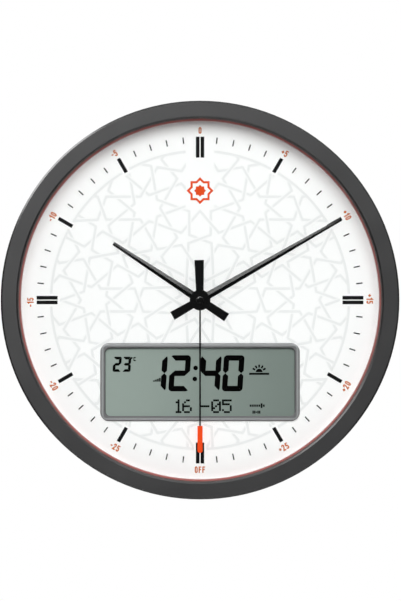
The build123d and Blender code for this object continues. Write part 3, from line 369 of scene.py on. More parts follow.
def paper_cone(name, colour):
    """Pressed paper with fibres and rings round the coil."""
    finish = Finish(name)
    low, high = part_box("speaker_cone")
    middle = (low + high) / (2 * MM)
    rings = finish.math("SINE", finish.radius(middle.x, middle.z) * 2.2) * 0.5 + 0.5
    fibres = finish.noise(0.7, 5)
    cover = finish.mottled(colour, fibres, 0.3)
    return finish.surface(cover, 0.85 + fibres * 0.1, finish.bump(rings * 0.6 + fibres * 0.4, 0.12))


def striped_rubber(name, colour):
    """Layered contact rubber: thin dark and pale slices along X."""
    finish = Finish(name)
    slices = (finish.axis("X") % 0.36) < 0.18
    cover = finish.blend(slices, colour, shaded(colour, 4.0))
    return finish.surface(cover, 0.7 + slices * 0.05)


def soft_rubber(name, colour):
    """Plain cord of soft rubber with bloom on it."""
    finish = Finish(name)
    bloom = finish.noise(3, 4)
    return finish.surface(finish.mottled(colour, bloom, 0.3), 0.7 + bloom * 0.15, finish.bump(bloom, 0.02))


def ferrite(name, colour):
    """Sintered magnet with a ground face."""
    finish = Finish(name)
    pores = finish.noise(0.4, 5)
    return finish.surface(finish.mottled(colour, pores, 0.2), 0.55 + pores * 0.2, finish.bump(pores, 0.02))


def wire_sleeve(name, colour):
    """Coloured insulation: each lead has its own colour by where it runs."""
    finish = Finish(name)
    across = finish.axis("X")
    cover = finish.blend(across > -57, colour, tone(40, 40, 42))
    cover = finish.blend(across > -20, cover, tone(38, 72, 150))
    cover = finish.blend(across > 32, cover, tone(196, 160, 40))
    cloud = finish.noise(2, 2)
    return finish.surface(cover, 0.42 + cloud * 0.1, finish.bump(cloud, 0.01))


def clear_pane(name, settings):
    """The front glass: flat, clean and coated, so that it only lays a faint gloss over what is behind it."""
    finish = Finish(name)
    haze = finish.noise(24, 3)
    inputs = {"Base Color": (*settings.lens_tint, 1), "Metallic": 1.0}
    inputs["Roughness"] = finish.ramp(haze, 0.3, 0.8, 0.02, 0.05)
    gloss = finish.node("ShaderNodeBsdfPrincipled", inputs=inputs)
    through = finish.node("ShaderNodeBsdfTransparent", inputs={0: (*settings.lens_tint, 1)})
    inputs = {0: settings.lens_gloss, 1: through, 2: gloss}
    return finish.end(finish.node("ShaderNodeMixShader", inputs=inputs))


def display_glass(name, settings):
    """The liquid-crystal pane over its reflector: grey-green, with painted shade that darkens it towards the
    right, and a fine sparkle.
    """
    finish = Finish(name)
    across = finish.axis("X")
    half = (TRIM_HIGH.x - TRIM_LOW.x) / (2 * MM)
    # Painted light and shade: the pane's colour runs from a lit tone at the left end to a shaded tone at the
    # right end.
    share = finish.ramp(across, -half, half)
    share = share * 0.6 + (across / (2 * half) + 0.5) * 0.4
    sparkle = finish.noise(0.5, 2)
    cover = finish.blend(share, settings.panel_painted_lit_end, settings.panel_painted_shaded_end)
    grey = finish.blend(sparkle, shaded((1, 1, 1), 0.46), shaded((1, 1, 1), 0.54))
    inputs = {0: 0.35, 6: cover, 7: grey}
    cover = finish.node("ShaderNodeMix", {"data_type": "RGBA", "blend_type": "SOFT_LIGHT"}, inputs, 2)
    return finish.surface(cover, 0.4 + (sparkle - 0.5) * 0.06, specular_ior_level=0.25)


def brushed_trim(name, settings):
    """Silver-painted plastic of the display's frame, with painted shade as a darker line along its outer and
    inner edges.
    """
    finish = Finish(name)
    flecks = finish.node("ShaderNodeSeparateColor", inputs={0: finish.cells(0.14, "Color")})
    cloud = finish.noise(18, 2)
    middle, half = (TRIM_HIGH + TRIM_LOW) / (2 * MM), (TRIM_HIGH - TRIM_LOW) / (2 * MM)
    across = abs(finish.axis("X") - middle.x) - (half.x - TRIM_CORNER)
    up = abs(finish.axis("Z") - middle.z) - (half.z - TRIM_CORNER)
    beyond = [finish.math("MAXIMUM", side, 0.0) for side in (across, up)]
    within = finish.math("MINIMUM", finish.math("MAXIMUM", across, up), 0.0)
    inset = TRIM_CORNER - (finish.math("SQRT", beyond[0] * beyond[0] + beyond[1] * beyond[1]) + within)
    # Painted shade: a darker line along the frame's outer edge and another along its inner edge.
    outer, inner = finish.ramp(inset, 0.8, 1.1, 1.0, 0.0), finish.ramp(inset, 2.6, 3.0)
    body = finish.mottled(settings.trim_colour, flecks, 0.08)
    cover = finish.blend(outer * 0.9, body, shaded(settings.trim_colour, 0.5))
    cover = finish.blend(inner * 0.9, cover, shaded(settings.trim_colour, 0.45))
    dull = settings.trim_roughness + (cloud - 0.5) * 0.08
    return finish.surface(cover, dull, finish.bump(finish.noise(0.4, 2), 0.002), metallic=settings.trim_metal)


# === Mesh helpers ========================================================================================


def piece_from(name, mesh, material=None):
    """Puts a mesh into the scene as an object at the origin."""
    if material is not None:
        mesh.materials.clear()
        mesh.materials.append(material)
    piece = bpy.data.objects.new(name, mesh)
    bpy.context.scene.collection.objects.link(piece)
    return piece


def settle(piece, body):
    """The piece rides on a body."""
    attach(piece, body)


def mesh_of(maker, name):
    """A mesh object made and then dropped, so that only its plain mesh stays."""
    depsgraph = bpy.context.evaluated_depsgraph_get()
    mesh = bpy.data.meshes.new_from_object(maker.evaluated_get(depsgraph), depsgraph=depsgraph)
    data, kind = maker.data, maker.type
    bpy.data.objects.remove(maker)
    (bpy.data.curves if kind == "FONT" else bpy.data.meshes).remove(data)
    mesh.name = name
    return mesh


class Plates:
    """Flat closed shapes gathered into one mesh, each given as (x, z) points seen from the front."""

    def __init__(self, rear, front):
        self.rear = rear
        self.front = front
        self.mesh = bmesh.new()

    def add(self, outline):
        """Adds one shape; the outline runs counter-clockwise as it is seen from the front."""
        rear = [self.mesh.verts.new((x, self.rear, z)) for x, z in outline]
        front = [self.mesh.verts.new((x, self.front, z)) for x, z in outline]
        self.mesh.faces.new(front)
        self.mesh.faces.new(reversed(rear))
        for index in range(len(outline)):
            after = (index + 1) % len(outline)
            self.mesh.faces.new((rear[index], rear[after], front[after], front[index]))

    def piece(self, name, material):
        return piece_from(name, closed(self.mesh, bpy.data.meshes.new(name)), material)


def arc(centre_x, centre_z, radius, start, end, steps):
    """Points on an arc; angles are in degrees, counter-clockwise from +X."""
    angles = [math.radians(start + (end - start) * step / steps) for step in range(steps + 1)]
    return [(centre_x + radius * math.cos(a), centre_z + radius * math.sin(a)) for a in angles]


def lettering(text, height, width_share, rear, front, place, bold=0.0):
    """A mesh of upright characters of a height, centred at a place.

    The characters face from the rear to the front, so they read from behind where the front is further back.
    """
    curve = bpy.data.curves.new("letters", "FONT")
    curve.body = text
    curve.resolution_u = 4
    curve.extrude = 0.5
    curve.offset = bold
    maker = bpy.data.objects.new("letters", curve)
    bpy.context.scene.collection.objects.link(maker)
    bpy.context.view_layer.update()
    mesh = mesh_of(maker, "letters")
    corners = [vertex.co for vertex in mesh.vertices]
    low = Vector([min(c[i] for c in corners) for i in range(3)])
    high = Vector([max(c[i] for c in corners) for i in range(3)])
    size = height / (high.y - low.y)
    scale = Matrix.Diagonal((size * width_share, size, abs(front - rear), 1))
    stand = Matrix.Rotation(QUARTER, 4, "X")
    about = Matrix.Rotation(math.pi if front > rear else 0.0, 4, "Z")
    move = Matrix.Translation((place[0], (rear + front) / 2, place[1]))
    mesh.transform(move @ about @ stand @ scale @ Matrix.Translation(-(low + high) / 2))
    return mesh


def joined(name, meshes, material):
    """One piece from several meshes, with their doubled points merged."""
    whole = bmesh.new()
    for mesh in meshes:
        whole.from_mesh(mesh)
        bpy.data.meshes.remove(mesh)
    mesh = bpy.data.meshes.new(name)
    return piece_from(name, closed(whole, mesh), material)


def closed(whole, mesh):
    """Writes a bmesh to a mesh with its doubled points merged and its faces flat and turned outwards."""
    bmesh.ops.remove_doubles(whole, verts=whole.verts, dist=1e-7)
    bmesh.ops.recalc_face_normals(whole, faces=whole.faces)
    for face in whole.faces:
        face.smooth = False
        face.material_index = 0
    whole.to_mesh(mesh)
    whole.free()
    return mesh


# === Geometry Nodes ======================================================================================


class Repeater(Sheet):
    """A geometry tree with named inputs that ends in Realize Instances and Set Material."""

    def __init__(self, name, inputs):
        tree = bpy.data.node_groups.new(name, "GeometryNodeTree")
        super().__init__(tree)
        for label, kind in {"Geometry": "Geometry", **inputs}.items():
            tree.interface.new_socket(label, in_out="INPUT", socket_type="NodeSocket" + kind)
        tree.interface.new_socket("Geometry", in_out="OUTPUT", socket_type="NodeSocketGeometry")
        entry = tree.nodes.new("NodeGroupInput")
        self.given = {label: Field(self, entry.outputs[label]) for label in ("Geometry", *inputs)}

    def vector(self, x=0.0, y=0.0, z=0.0):
        return self.node("ShaderNodeCombineXYZ", inputs={0: x, 1: y, 2: z})

    def end(self, geometry):
        geometry = self.node("GeometryNodeRealizeInstances", inputs={0: geometry})
        inputs = {"Geometry": geometry, "Material": self.given["Material"]}
        geometry = self.node("GeometryNodeSetMaterial", inputs=inputs)
        self.node("NodeGroupOutput", inputs={"Geometry": geometry}, output=None)
        return self.tree

    @staticmethod
    def run(tree, name, values, points=None):
        """The plain piece that a tree makes from its named values and, where it needs them, points."""
        maker = piece_from(name, points or bpy.data.meshes.new(name))
        modifier = maker.modifiers.new("repeat", "NODES")
        modifier.node_group = tree
        for item in tree.interface.items_tree:
            if item.in_out == "INPUT" and item.name in values:
                modifier[item.identifier] = values[item.name]
        bpy.context.view_layer.update()
        mesh = mesh_of(maker, name)
        whole = bmesh.new()
        whole.from_mesh(mesh)
        return piece_from(name, closed(whole, mesh), values["Material"])


def marks_on_a_ring():
    """A tree: bars on a circle, some of them left out, each mark of one bar or several side by side."""
    lengths = ("Inner radius", "Outer radius", "Bar width", "Bar pitch", "Rear", "Front")
    inputs = {"Marks": "Int", "Left out": "Int", "Bars": "Int", **dict.fromkeys(lengths, "Float")}
    tree = Repeater("marks on a ring", {**inputs, "Material": "Material"})
    given = tree.given
    index = tree.node("GeometryNodeInputIndex")
    angle = index * TURN / given["Marks"]
    middle = (given["Inner radius"] + given["Outer radius"]) / 2
    spot = tree.vector(tree.math("SINE", angle) * middle, 0.0, tree.math("COSINE", angle) * middle)
    points = tree.node("GeometryNodePoints", inputs={"Count": given["Marks"], "Position": spot})
    dropped = ((index % given["Left out"]) < 0.5) * (given["Left out"] > 0.5)
    length = given["Outer radius"] - given["Inner radius"]
    size = tree.vector(given["Bar width"], given["Rear"] - given["Front"], length)
    bar = tree.node("GeometryNodeMeshCube", inputs={"Size": size})
    start = tree.vector(given["Bar pitch"] * (1 - given["Bars"]) / 2, (given["Rear"] + given["Front"]) / 2)
    inputs = {"Count": given["Bars"], "Start Location": start, "Offset": tree.vector(given["Bar pitch"])}
    row = tree.node("GeometryNodeMeshLine", inputs=inputs)
    mark = tree.node("GeometryNodeInstanceOnPoints", inputs={"Points": row, "Instance": bar})
    inputs = {"Points": points, "Selection": 1 - dropped, "Instance": mark}
    inputs["Rotation"] = tree.vector(0.0, angle, 0.0)
    return tree.end(tree.node("GeometryNodeInstanceOnPoints", inputs=inputs))


def dots():
    """A tree: a small block on every point, for a dot-matrix display."""
    inputs = {"Dot size": "Float", "Thickness": "Float", "Material": "Material"}
    tree = Repeater("dot matrix", inputs)
    given = tree.given
    size = tree.vector(given["Dot size"], given["Thickness"], given["Dot size"])
    block = tree.node("GeometryNodeMeshCube", inputs={"Size": size})
    points = tree.node("GeometryNodeMeshToPoints", inputs={0: given["Geometry"]})
    return tree.end(tree.node("GeometryNodeInstanceOnPoints", inputs={"Points": points, "Instance": block}))


def points_mesh(name, spots, depth):
    """A mesh of loose points, given as (x, z) pairs at a depth."""
    mesh = bpy.data.meshes.new(name)
    mesh.from_pydata([(x, depth, z) for x, z in spots], [], [])
    return mesh


# === The star pattern ====================================================================================
# Points and directions of the pattern are complex numbers: the real part is up and the imaginary part is
# to the right, so that the angle of a number is its bearing, clockwise from the top of the dial.


def heading(degrees):
    return complex(math.cos(math.radians(degrees)), math.sin(math.radians(degrees)))


def cross(first, second):
    return (first.conjugate() * second).imag


def meeting(start, along, other, aside):
    """Where the line from start meets the line from other."""
    return start + along * cross(other - start, aside) / cross(along, aside)


def leaning(base, guide, lean):
    """The direction base turned by lean degrees towards a guide direction."""
    return base * heading(lean if cross(base, guide) > 0 else -lean)


def tile_of_lines(edge, inner_twelve, inner_nine, steep, soft, lean):
    """One sixth-turn half of the pattern round a twelve-pointed star at the origin.

    Twelve-sided and nine-sided tiles with a common edge length lie on a triangular grid. A line crosses
    each edge's middle at a flat angle, and touches a circle in each tile, from where it runs to the star.
    """
    reach_twelve, corner_twelve = edge / 2 / math.tan(math.radians(15)), edge / 2 / math.sin(math.radians(15))
    reach_nine, corner_nine = edge / 2 / math.tan(math.radians(20)), edge / 2 / math.sin(math.radians(20))
    nine = (reach_twelve + reach_nine) * heading(30)
    near_corner = corner_twelve * heading(15)
    far_corner = nine + corner_nine * heading(270)
    side_twelve, side_next = reach_twelve * heading(30), reach_twelve * heading(0)
    side_gap = (near_corner + far_corner) / 2
    inward = (nine - near_corner) / abs(nine - near_corner)
    touch, touch_nine = inner_twelve * heading(15), nine - inner_nine * inward
    to_nine = (side_twelve - near_corner) / abs(side_twelve - near_corner)
    to_next = (side_next - near_corner) / abs(side_next - near_corner)
    to_gap = (side_gap - near_corner) / abs(side_gap - near_corner)
    home = heading(195)

    first = meeting(touch, heading(15 + steep), side_twelve, leaning(-to_nine, home, lean))
    second = meeting(touch, heading(15 - steep), side_next, leaning(-to_next, home, lean))
    third = meeting(side_next, leaning(-to_next, to_gap, lean), side_gap, leaning(-to_gap, to_next, lean))
    fourth = meeting(side_gap, leaning(-to_gap, inward, lean), touch_nine, leaning(-inward, to_gap, soft))
    fifth = meeting(touch_nine, leaning(-inward, to_nine, soft), side_twelve, leaning(-to_nine, inward, lean))
    lines = [(touch, first), (first, side_twelve), (touch, second), (second, side_next)]
    lines += [(side_next, third), (third, side_gap), (side_gap, fourth), (fourth, touch_nine)]
    lines += [(touch_nine, fifth), (fifth, side_twelve)]
    for turn in (1, -1):
        inner = home * heading(turn * steep)
        crossing = meeting(touch, inner, 0, heading(15 - turn * 15))
        lines += [(touch, crossing), (crossing, meeting(touch, inner, 0, heading(15 - turn * 30)))]
    foot = nine - inner_nine * heading(90)
    from_gap = (side_gap - far_corner) / abs(side_gap - far_corner)
    to_foot = leaning(-from_gap, heading(90), lean)
    sixth = meeting(side_gap, to_foot, foot, leaning(heading(270), from_gap, soft))
    lines += [(side_gap, sixth), (sixth, foot)]
    lines += [(side_gap, meeting(side_gap, leaning(-from_gap, heading(270), lean), 0, heading(0)))]
    for step in range(3):
        bearing = 230 + 40 * step
        start = nine + inner_nine * heading(bearing)
        for turn in (1, -1):
            inner = heading(bearing + 180 - turn * soft)
            crossing = meeting(start, inner, nine, heading(bearing + turn * 20))
            point = meeting(start, inner, nine, heading(bearing + turn * 40))
            lines += [(start, crossing), (crossing, point)]
    return lines, nine


def star_field(reach, edge, inner_twelve, inner_nine, steep, soft, lean):
    """All lines of the pattern within a reach, and its stars' centres with the radius of their contacts."""
    tile, nine = tile_of_lines(edge, inner_twelve, inner_nine, steep, soft, lean)
    pitch = 2 * nine.real
    homes = [0] + [pitch * heading(60 * k) for k in range(6)]
    lines, stars = {}, {}
    for home in homes:
        stars[rounded(home)] = (home, inner_twelve)
        for k in range(6):
            turned = nine * heading(60 * k) + home
            stars[rounded(turned)] = (turned, inner_nine)
            for flip in (False, True):
                for ends in tile:
                    ends = [end.conjugate() if flip else end for end in ends]
                    ends = [home + end * heading(60 * k) for end in ends]
                    if min(map(abs, ends)) < reach:
                        lines[tuple(sorted(map(rounded, ends)))] = None
    return list(lines), list(stars.values())


def rounded(point):
    """A point as a pair that compares equal for the same place; lengths are in millimetres."""
    return (round(point.real, 3), round(point.imag, 3))


def interlaced(lines, stars, cut):
    """Runs of the pattern as bands that pass over and under each other.

    Each run is a list of points with the direction of the band's end or mitre there. A band that passes
    under another stops on both sides of it, cut along it at a distance of its middle line.
    """
    arms = {}
    for line in lines:
        for here, there in (line, line[::-1]):
            along = complex(*there) - complex(*here)
            arms.setdefault(here, []).append((along / abs(along), there))
    over, under = {}, {}
    for place, pairs in arms.items():
        if len(pairs) < 4:
            continue
        spot = complex(*place)
        star, contact = min(stars, key=lambda s: abs(spot - s[0]))
        axis = spot - star
        at_contact = abs(abs(axis) - contact) < 0.5
        for along, there in pairs:
            outward = along if (along * axis.conjugate()).real > 0 else -along
            clockwise = cross(axis, outward) > 0
            (over if clockwise != at_contact else under).setdefault(place, []).append((along, there))
    links = {}
    for place, pairs in arms.items():
        through = over[place] if len(pairs) == 4 else pairs
        if len(through) == 2:
            links[place] = [there for _, there in through]
    runs, done = [], set()
    for start, pairs in arms.items():
        for along, there in under.get(start, []) if start in under else pairs[: len(pairs) % 2]:
            if (start, there) in done:
                continue
            run, before, place = [start], start, there
            while True:
                run.append(place)
                if place not in links or before not in links[place]:
                    break
                before, place = place, next(p for p in links[place] if p != before)
            done.update({(start, there), (run[-1], run[-2])})
            runs.append(band(run, over, under, cut))
    return runs


def band(run, over, under, cut):
    """A run as (point, direction of the cut or mitre) pairs, shortened where it passes under."""
    points = [complex(*place) for place in run]
    made = []
    for index, (place, point) in enumerate(zip(run, points)):
        if 0 < index < len(run) - 1:
            before, after = point - points[index - 1], points[index + 1] - point
            made.append((point, 1j * (before / abs(before) + after / abs(after))))
            continue
        inward = (points[1] - point) if index == 0 else (points[-2] - point)
        inward /= abs(inward)
        if place in under:
            across = over[place][0][0]
            made.append((point + inward * cut / abs(cross(inward, across)), across))
        else:
            made.append((point, 1j * inward))
    return made


class Disc:
    """What is nearer to the middle than a radius."""

    def __init__(self, radius):
        self.radius = radius

    def crossings(self, start, end):
        """Shares of the way from start to end where the edge is crossed, with the edge's direction there."""
        along = end - start
        half = (start * along.conjugate()).real / abs(along) ** 2
        rest = half * half - (abs(start) ** 2 - self.radius**2) / abs(along) ** 2
        if rest <= 0:
            return []
        shares = [-half - math.sqrt(rest), -half + math.sqrt(rest)]
        return [(share, 1j * (start + along * share)) for share in shares]

    def holds(self, point):
        return abs(point) < self.radius


class Slab:
    """A turned rectangle that starts at a radius and is as wide to each side as half."""

    def __init__(self, bearing, inner, outer, half):
        self.axis = heading(bearing)
        self.inner = inner
        self.outer = outer
        self.half = half

    def crossings(self, start, end):
        start, along = start / self.axis, (end - start) / self.axis
        found = []
        for limit in (self.inner, self.outer):
            if along.real:
                found.append(((limit - start.real) / along.real, 1j * self.axis))
        for limit in (-self.half, self.half):
            if along.imag:
                found.append(((limit - start.imag) / along.imag, self.axis))
        return found

    def holds(self, point):
        point = point / self.axis
        return self.inner < point.real < self.outer and abs(point.imag) < self.half


def trimmed(runs, inside, blanks):
    """The parts of the runs that are in one area and in none of the blank areas."""
    kept = []
    for run in runs:
        piece = []
        for (start, first), (end, last) in zip(run, run[1:]):
            cuts = [cut for area in (inside, *blanks) for cut in area.crossings(start, end) if 0 < cut[0] < 1]
            stops = [(0.0, first), *sorted(cuts, key=lambda cut: cut[0]), (1.0, last)]
            for (low, low_edge), (high, high_edge) in zip(stops, stops[1:]):
                middle = start + (end - start) * (low + high) / 2
                if inside.holds(middle) and not any(blank.holds(middle) for blank in blanks):
                    if not piece:
                        piece = [(start + (end - start) * low, low_edge)]
                    elif low > 0:
                        piece.pop()
                    piece.append((start + (end - start) * high, high_edge))
                elif piece:
                    kept.append(piece)
                    piece = []
        if piece:
            kept.append(piece)
    return kept


def strips_mesh(name, runs, rear):
    """An edge mesh of runs in millimetres, with half of the band's own section stored at each point.

    An end that would be cut at a very flat angle is cut square instead.
    """
    places, edges, sections = [], [], []
    for run in runs:
        pairs = zip(run, run[1:])
        run = [run[0]] + [pair for before, pair in pairs if abs(pair[0] - before[0]) > SAME_SPOT]
        if len(run) < 2 or abs(run[-1][0] - run[0][0]) < SHORTEST and len(run) == 2:
            continue
        looped = len(run) > 3 and abs(run[0][0] - run[-1][0]) < SAME_SPOT
        first = len(places)
        for index, (point, across) in enumerate(run[:-1] if looped else run):
            along = run[index + 1][0] - point if index + 1 < len(run) else point - run[index - 1][0]
            section = across * abs(along) / cross(along, across)
            if abs(section) > FLAT_CUT and not looped and index in (0, len(run) - 1):
                section = 1j * along / abs(along)
            section /= max(abs(section) / WIDEST_CUT, 1)
            if index:
                edges.append((len(places) - 1, len(places)))
            elif looped:
                edges.append((first + len(run) - 2, first))
            places.append((point.imag * MM, rear, point.real * MM))
            sections.append((section.imag / 2, 0.0, section.real / 2))
    mesh = bpy.data.meshes.new(name)
    mesh.from_pydata(places, edges, [])
    half = mesh.attributes.new("half section", "FLOAT_VECTOR", "POINT")
    for item, section in zip(half.data, sections):
        item.vector = section
    return mesh


def printed_bands():
    """A tree: closed flat bands along the edges of a mesh, as wide as its stored sections times a width."""
    inputs = {"Line width": "Float", "Thickness": "Float", "Material": "Material"}
    tree = Repeater("printed bands", inputs)
    given = tree.given
    settings = {"data_type": "FLOAT_VECTOR"}
    half = tree.node("GeometryNodeInputNamedAttribute", settings, {"Name": "half section"})
    side = tree.node("ShaderNodeVectorMath", {"operation": "SCALE"}, {0: half, "Scale": given["Line width"]})
    back = tree.node("ShaderNodeVectorMath", {"operation": "SCALE"}, {0: side, "Scale": -1.0})
    full = tree.node("ShaderNodeVectorMath", {"operation": "SCALE"}, {0: side, "Scale": 2.0})
    line = tree.node("GeometryNodeSetPosition", inputs={"Geometry": given["Geometry"], "Offset": back})
    inputs = {"Mesh": line, "Offset Scale": 0.0}
    wide = tree.node("GeometryNodeExtrudeMesh", {"mode": "EDGES"}, inputs)
    new_side = Field(tree, wide.socket.node.outputs["Top"])
    inputs = {"Geometry": wide, "Selection": new_side, "Offset": full}
    sheet = tree.node("GeometryNodeSetPosition", inputs=inputs)
    front = tree.vector(0.0, -1.0, 0.0)
    inputs = {"Mesh": sheet, "Offset": front, "Offset Scale": given["Thickness"], "Individual": False}
    raised = tree.node("GeometryNodeExtrudeMesh", {"mode": "FACES"}, inputs)
    both = tree.node("GeometryNodeJoinGeometry", inputs={0: raised})
    tree.tree.links.new(sheet.socket, both.socket.node.inputs[0])
    return tree.end(tree.node("GeometryNodeMergeByDistance", inputs={"Geometry": both, "Distance": 1e-6}))


# === Numbers round the edge ==============================================================================

# Strokes of each sign as (right, up) points from its lower left, in shares of a digit's width and height.
# A stroke that starts with None begins at the edge of another stroke that runs through its first point.
RING = [(0, 0.16), (0, 0.84), (0.28, 1), (0.72, 1), (1, 0.84), (1, 0.16), (0.72, 0), (0.28, 0), (0, 0.16)]
STROKES = {
    "0": [RING],
    "O": [RING],
    "1": [[(0, 0.82), (0.5, 1), (0.5, 0)]],
    "2": [[(0, 0.78), (0.06, 0.9), (0.3, 1), (0.7, 1), (0.96, 0.88), (0.96, 0.64), (0, 0), (1, 0)]],
    "5": [
        [(0.95, 1), (0.08, 1), (0.03, 0.56), (0.7, 0.6), (1, 0.46), (1, 0.14), (0.7, 0), (0.3, 0), (0, 0.12)]
    ],
    "F": [[(0, 0), (0, 1), (0.9, 1)], [None, (0, 0.54), (0.7, 0.54)]],
    "+": [[(0, 0.5), (0.84, 0.5)], [None, (0.42, 0.5), (0.42, 0.65)], [None, (0.42, 0.5), (0.42, 0.35)]],
    "-": [[(0, 0.46), (0.5, 0.46)]],
}


def mitred(points):
    """A run of points, each with the direction of the band's end or mitre there."""
    looped = abs(points[0] - points[-1]) < 0.001
    run = []
    for index, point in enumerate(points):
        before = point - points[index - 1] if index else (point - points[-2] if looped else 0)
        after = points[index + 1] - point if index + 1 < len(points) else (points[1] - point if looped else 0)
        way = sum(step / abs(step) for step in (before, after) if step)
        run.append((point, 1j * way))
    return run


def written(word, width, height, gap, stroke):
    """Runs of a word's strokes round the origin, upright and reading to the right."""
    lines, right = [], 0.0
    for sign in word:
        reach = 0.0
        for line in STROKES[sign]:
            joint = line[0] is None
            spots = line[joint:]
            reach = max(reach, *(x for x, _ in spots))
            line = [complex(y * (height - stroke), right + x * (width - stroke)) for x, y in spots]
            if spots[0] != spots[-1]:
                first, last = line[1] - line[0], line[-1] - line[-2]
                line[0] += first / abs(first) * (stroke / 2 if joint else -stroke / 2)
                line[-1] += last / abs(last) * stroke / 2
            lines.append(line)
        right += reach * (width - stroke) + stroke + gap
    middle = complex((height - stroke) / 2, (right - gap - stroke) / 2)
    return [mitred([point - middle for point in line]) for line in lines]


# === Shapes of the display ===============================================================================

# Lit segments of each sign, lettered clockwise from the top one, with g for the bar.
SEGMENTS = {"0": "abcdef", "1": "bc", "2": "abdeg", "3": "abcdg", "4": "bcfg", "C": "adef"}

# Dots of each sign from its top row down, as binary numbers of five places.
DOT_ROWS = {
    "0": (14, 17, 19, 21, 25, 17, 14),
    "1": (4, 12, 4, 4, 4, 4, 14),
    "5": (31, 16, 30, 1, 1, 17, 14),
    "6": (6, 8, 16, 30, 17, 17, 14),
    "-": (0, 0, 0, 31, 0, 0, 0),
}


def segment_outlines(sign, width, height, stroke, gap, radius):
    """Outlines of a sign's lit segments, from (0, 0) at its lower left, counter-clockwise."""
    half, slit = stroke / 2, gap / 2
    middle = height / 2
    bend = math.degrees(slit / radius)
    top = [(width - radius, height), *arc(radius, height - radius, radius, 90, 135 - bend, 4)]
    top = [*arc(width - radius, height - radius, radius, 45 + bend, 90, 4), *top[1:]]
    top += [(stroke + slit, height - stroke), (width - stroke - slit, height - stroke)]
    upper = [(stroke, middle + half), (stroke, height - stroke - slit)]
    upper += arc(radius, height - radius, radius, 135 + bend, 180, 4)
    upper += [(0, middle + half * 0.9), (half * 0.9, middle + slit)]
    bar = [(half * 0.9, middle), (stroke, middle - half), (width - stroke, middle - half)]
    bar += [(width - half * 0.9, middle), (width - stroke, middle + half), (stroke, middle + half)]

    def flipped(outline, across, up):
        outline = [(width - x if across else x, height - z if up else z) for x, z in outline]
        return outline if across == up else outline[::-1]

    shapes = {"a": top, "d": flipped(top, False, True), "f": upper, "b": flipped(upper, True, False)}
    shapes.update({"e": flipped(upper, False, True), "c": flipped(upper, True, True), "g": bar})
    return [shapes[letter] for letter in SEGMENTS[sign]]


def write_segments(plates, sign, centre, width, height, stroke, gap, radius, slant=0.0):
    """Adds a sign whose middle is at a centre, leaning to the right by a slope."""
    for outline in segment_outlines(sign, width, height, stroke, gap, radius):
        placed = []
        for x, z in outline:
            x, z = x - width / 2, z - height / 2
            placed.append((centre[0] + x + z * slant, centre[1] + z))
        plates.add(placed)


def disc(centre, radius, steps=24):
    return arc(*centre, radius, 0, 360 * (1 - 1 / steps), steps - 1)


def block(centre, width, height):
    x, z = centre
    wide, tall = width / 2, height / 2
    return [(x - wide, z - tall), (x + wide, z - tall), (x + wide, z + tall), (x - wide, z + tall)]


# === Settings ============================================================================================


def length(name, description, millimetres):
    return bpy.props.FloatProperty(
        name=name, description=description, default=millimetres * MM, min=0.0, unit="LENGTH", precision=5
    )


def angle(name, description, degrees):
    return bpy.props.FloatProperty(
        name=name, description=description, default=math.radians(degrees), subtype="ANGLE"
    )


def colour(name, description, value):
    return bpy.props.FloatVectorProperty(
        name=name, description=description, default=value, subtype="COLOR", size=3, min=0.0, max=1.0
    )


def share(name, description, value):
    return bpy.props.FloatProperty(
        name=name, description=description, default=value, min=0.0, max=1.0, subtype="FACTOR"
    )


def power(name, description, watts):
    return bpy.props.FloatProperty(
        name=name, description=description, default=watts, min=0.0, unit="POWER"
    )


class ClockDialSettings(bpy.types.PropertyGroup):
    """Sizes of what is printed on the dial."""

    tile_edge: length("Tile edge", "Common edge of the pattern's tiles", 28.81)
    twelve_contact: length("Large star radius", "Radius of the contacts of a twelve-pointed star", 41.29)
    nine_contact: length("Small star radius", "Radius of the contacts of a nine-pointed star", 29.34)
    twelve_angle: angle("Large star angle", "Half angle of a twelve-pointed star's points", 18)
    nine_angle: angle("Small star angle", "Half angle of a nine-pointed star's points", 20)
    edge_angle: angle("Edge angle", "Angle of the lines to a tile's edge", 20.5)
    line_width: length("Pattern line", "Width of the pattern's bands", 2.3)
    line_gap: length("Pattern gap", "Clear width beside a band that passes over another", 0.8)
    ring_radius: length("Ring radius", "Radius of the ring round the pattern", 131.0)
    bar_clearance: length("Bar clearance", "Bare width round an hour bar", 2.0)
    motif_height: length("Motif place", "Height of the motif above the middle", 96.2)
    motif_radius: length("Motif radius", "Radius of the eight-pointed star above the middle", 10.5)
    ink_height: length("Ink height", "How far the ink stands out from the dial", 0.04)
    pattern_height: length("Pattern height", "How far the pattern's ink stands out from the dial", 0.02)
    numeral_height: length("Numeral height", "Height of the numbers round the edge", 5.7)
    numeral_width: length("Numeral width", "Width of a digit of the numbers", 2.65)
    numeral_stroke: length("Numeral stroke", "Width of the numbers' strokes", 1.05)
    numeral_gap: length("Numeral gap", "Clear width between two signs of a number", 0.75)
    numeral_radius: length("Numeral radius", "Radius of the middle of the numbers", 149.2)
    bar_width: length("Hour bar width", "Width of an hour bar", 3.25)
    bar_inner: length("Hour bar start", "Inner radius of a single hour bar", 129.6)
    bar_outer: length("Hour bar end", "Outer radius of an hour bar", 143.7)
    pair_inner: length("Double bar start", "Inner radius of a double hour bar", 125.3)
    pair_pitch: length("Double bar pitch", "Distance between the bars of a double hour bar", 4.08)
    tick_inner: length("Tick start", "Inner radius of a minute tick", 138.1)
    tick_width: length("Tick width", "Width of a minute tick", 1.1)


class ClockDisplaySettings(bpy.types.PropertyGroup):
    """Sizes of what the liquid-crystal display shows."""

    digit_height: length("Digit height", "Height of the large digits", 31.8)
    digit_width: length("Digit width", "Width of the large digits", 18.2)
    digit_stroke: length("Digit stroke", "Width of the large digits' segments", 4.8)
    digit_level: length("Digit depth", "Distance of the large digits' middle below the dial's middle", 64.4)
    slant: angle("Slant", "Lean of the digits to the right", 3.65)
    dot_pitch: length("Dot pitch", "Distance between the dots of the date", 1.72)
    dot_size: length("Dot size", "Side of one dot of the date", 1.7)
    ink_height: length("Segment height", "How far a segment stands out from the pane", 0.04)


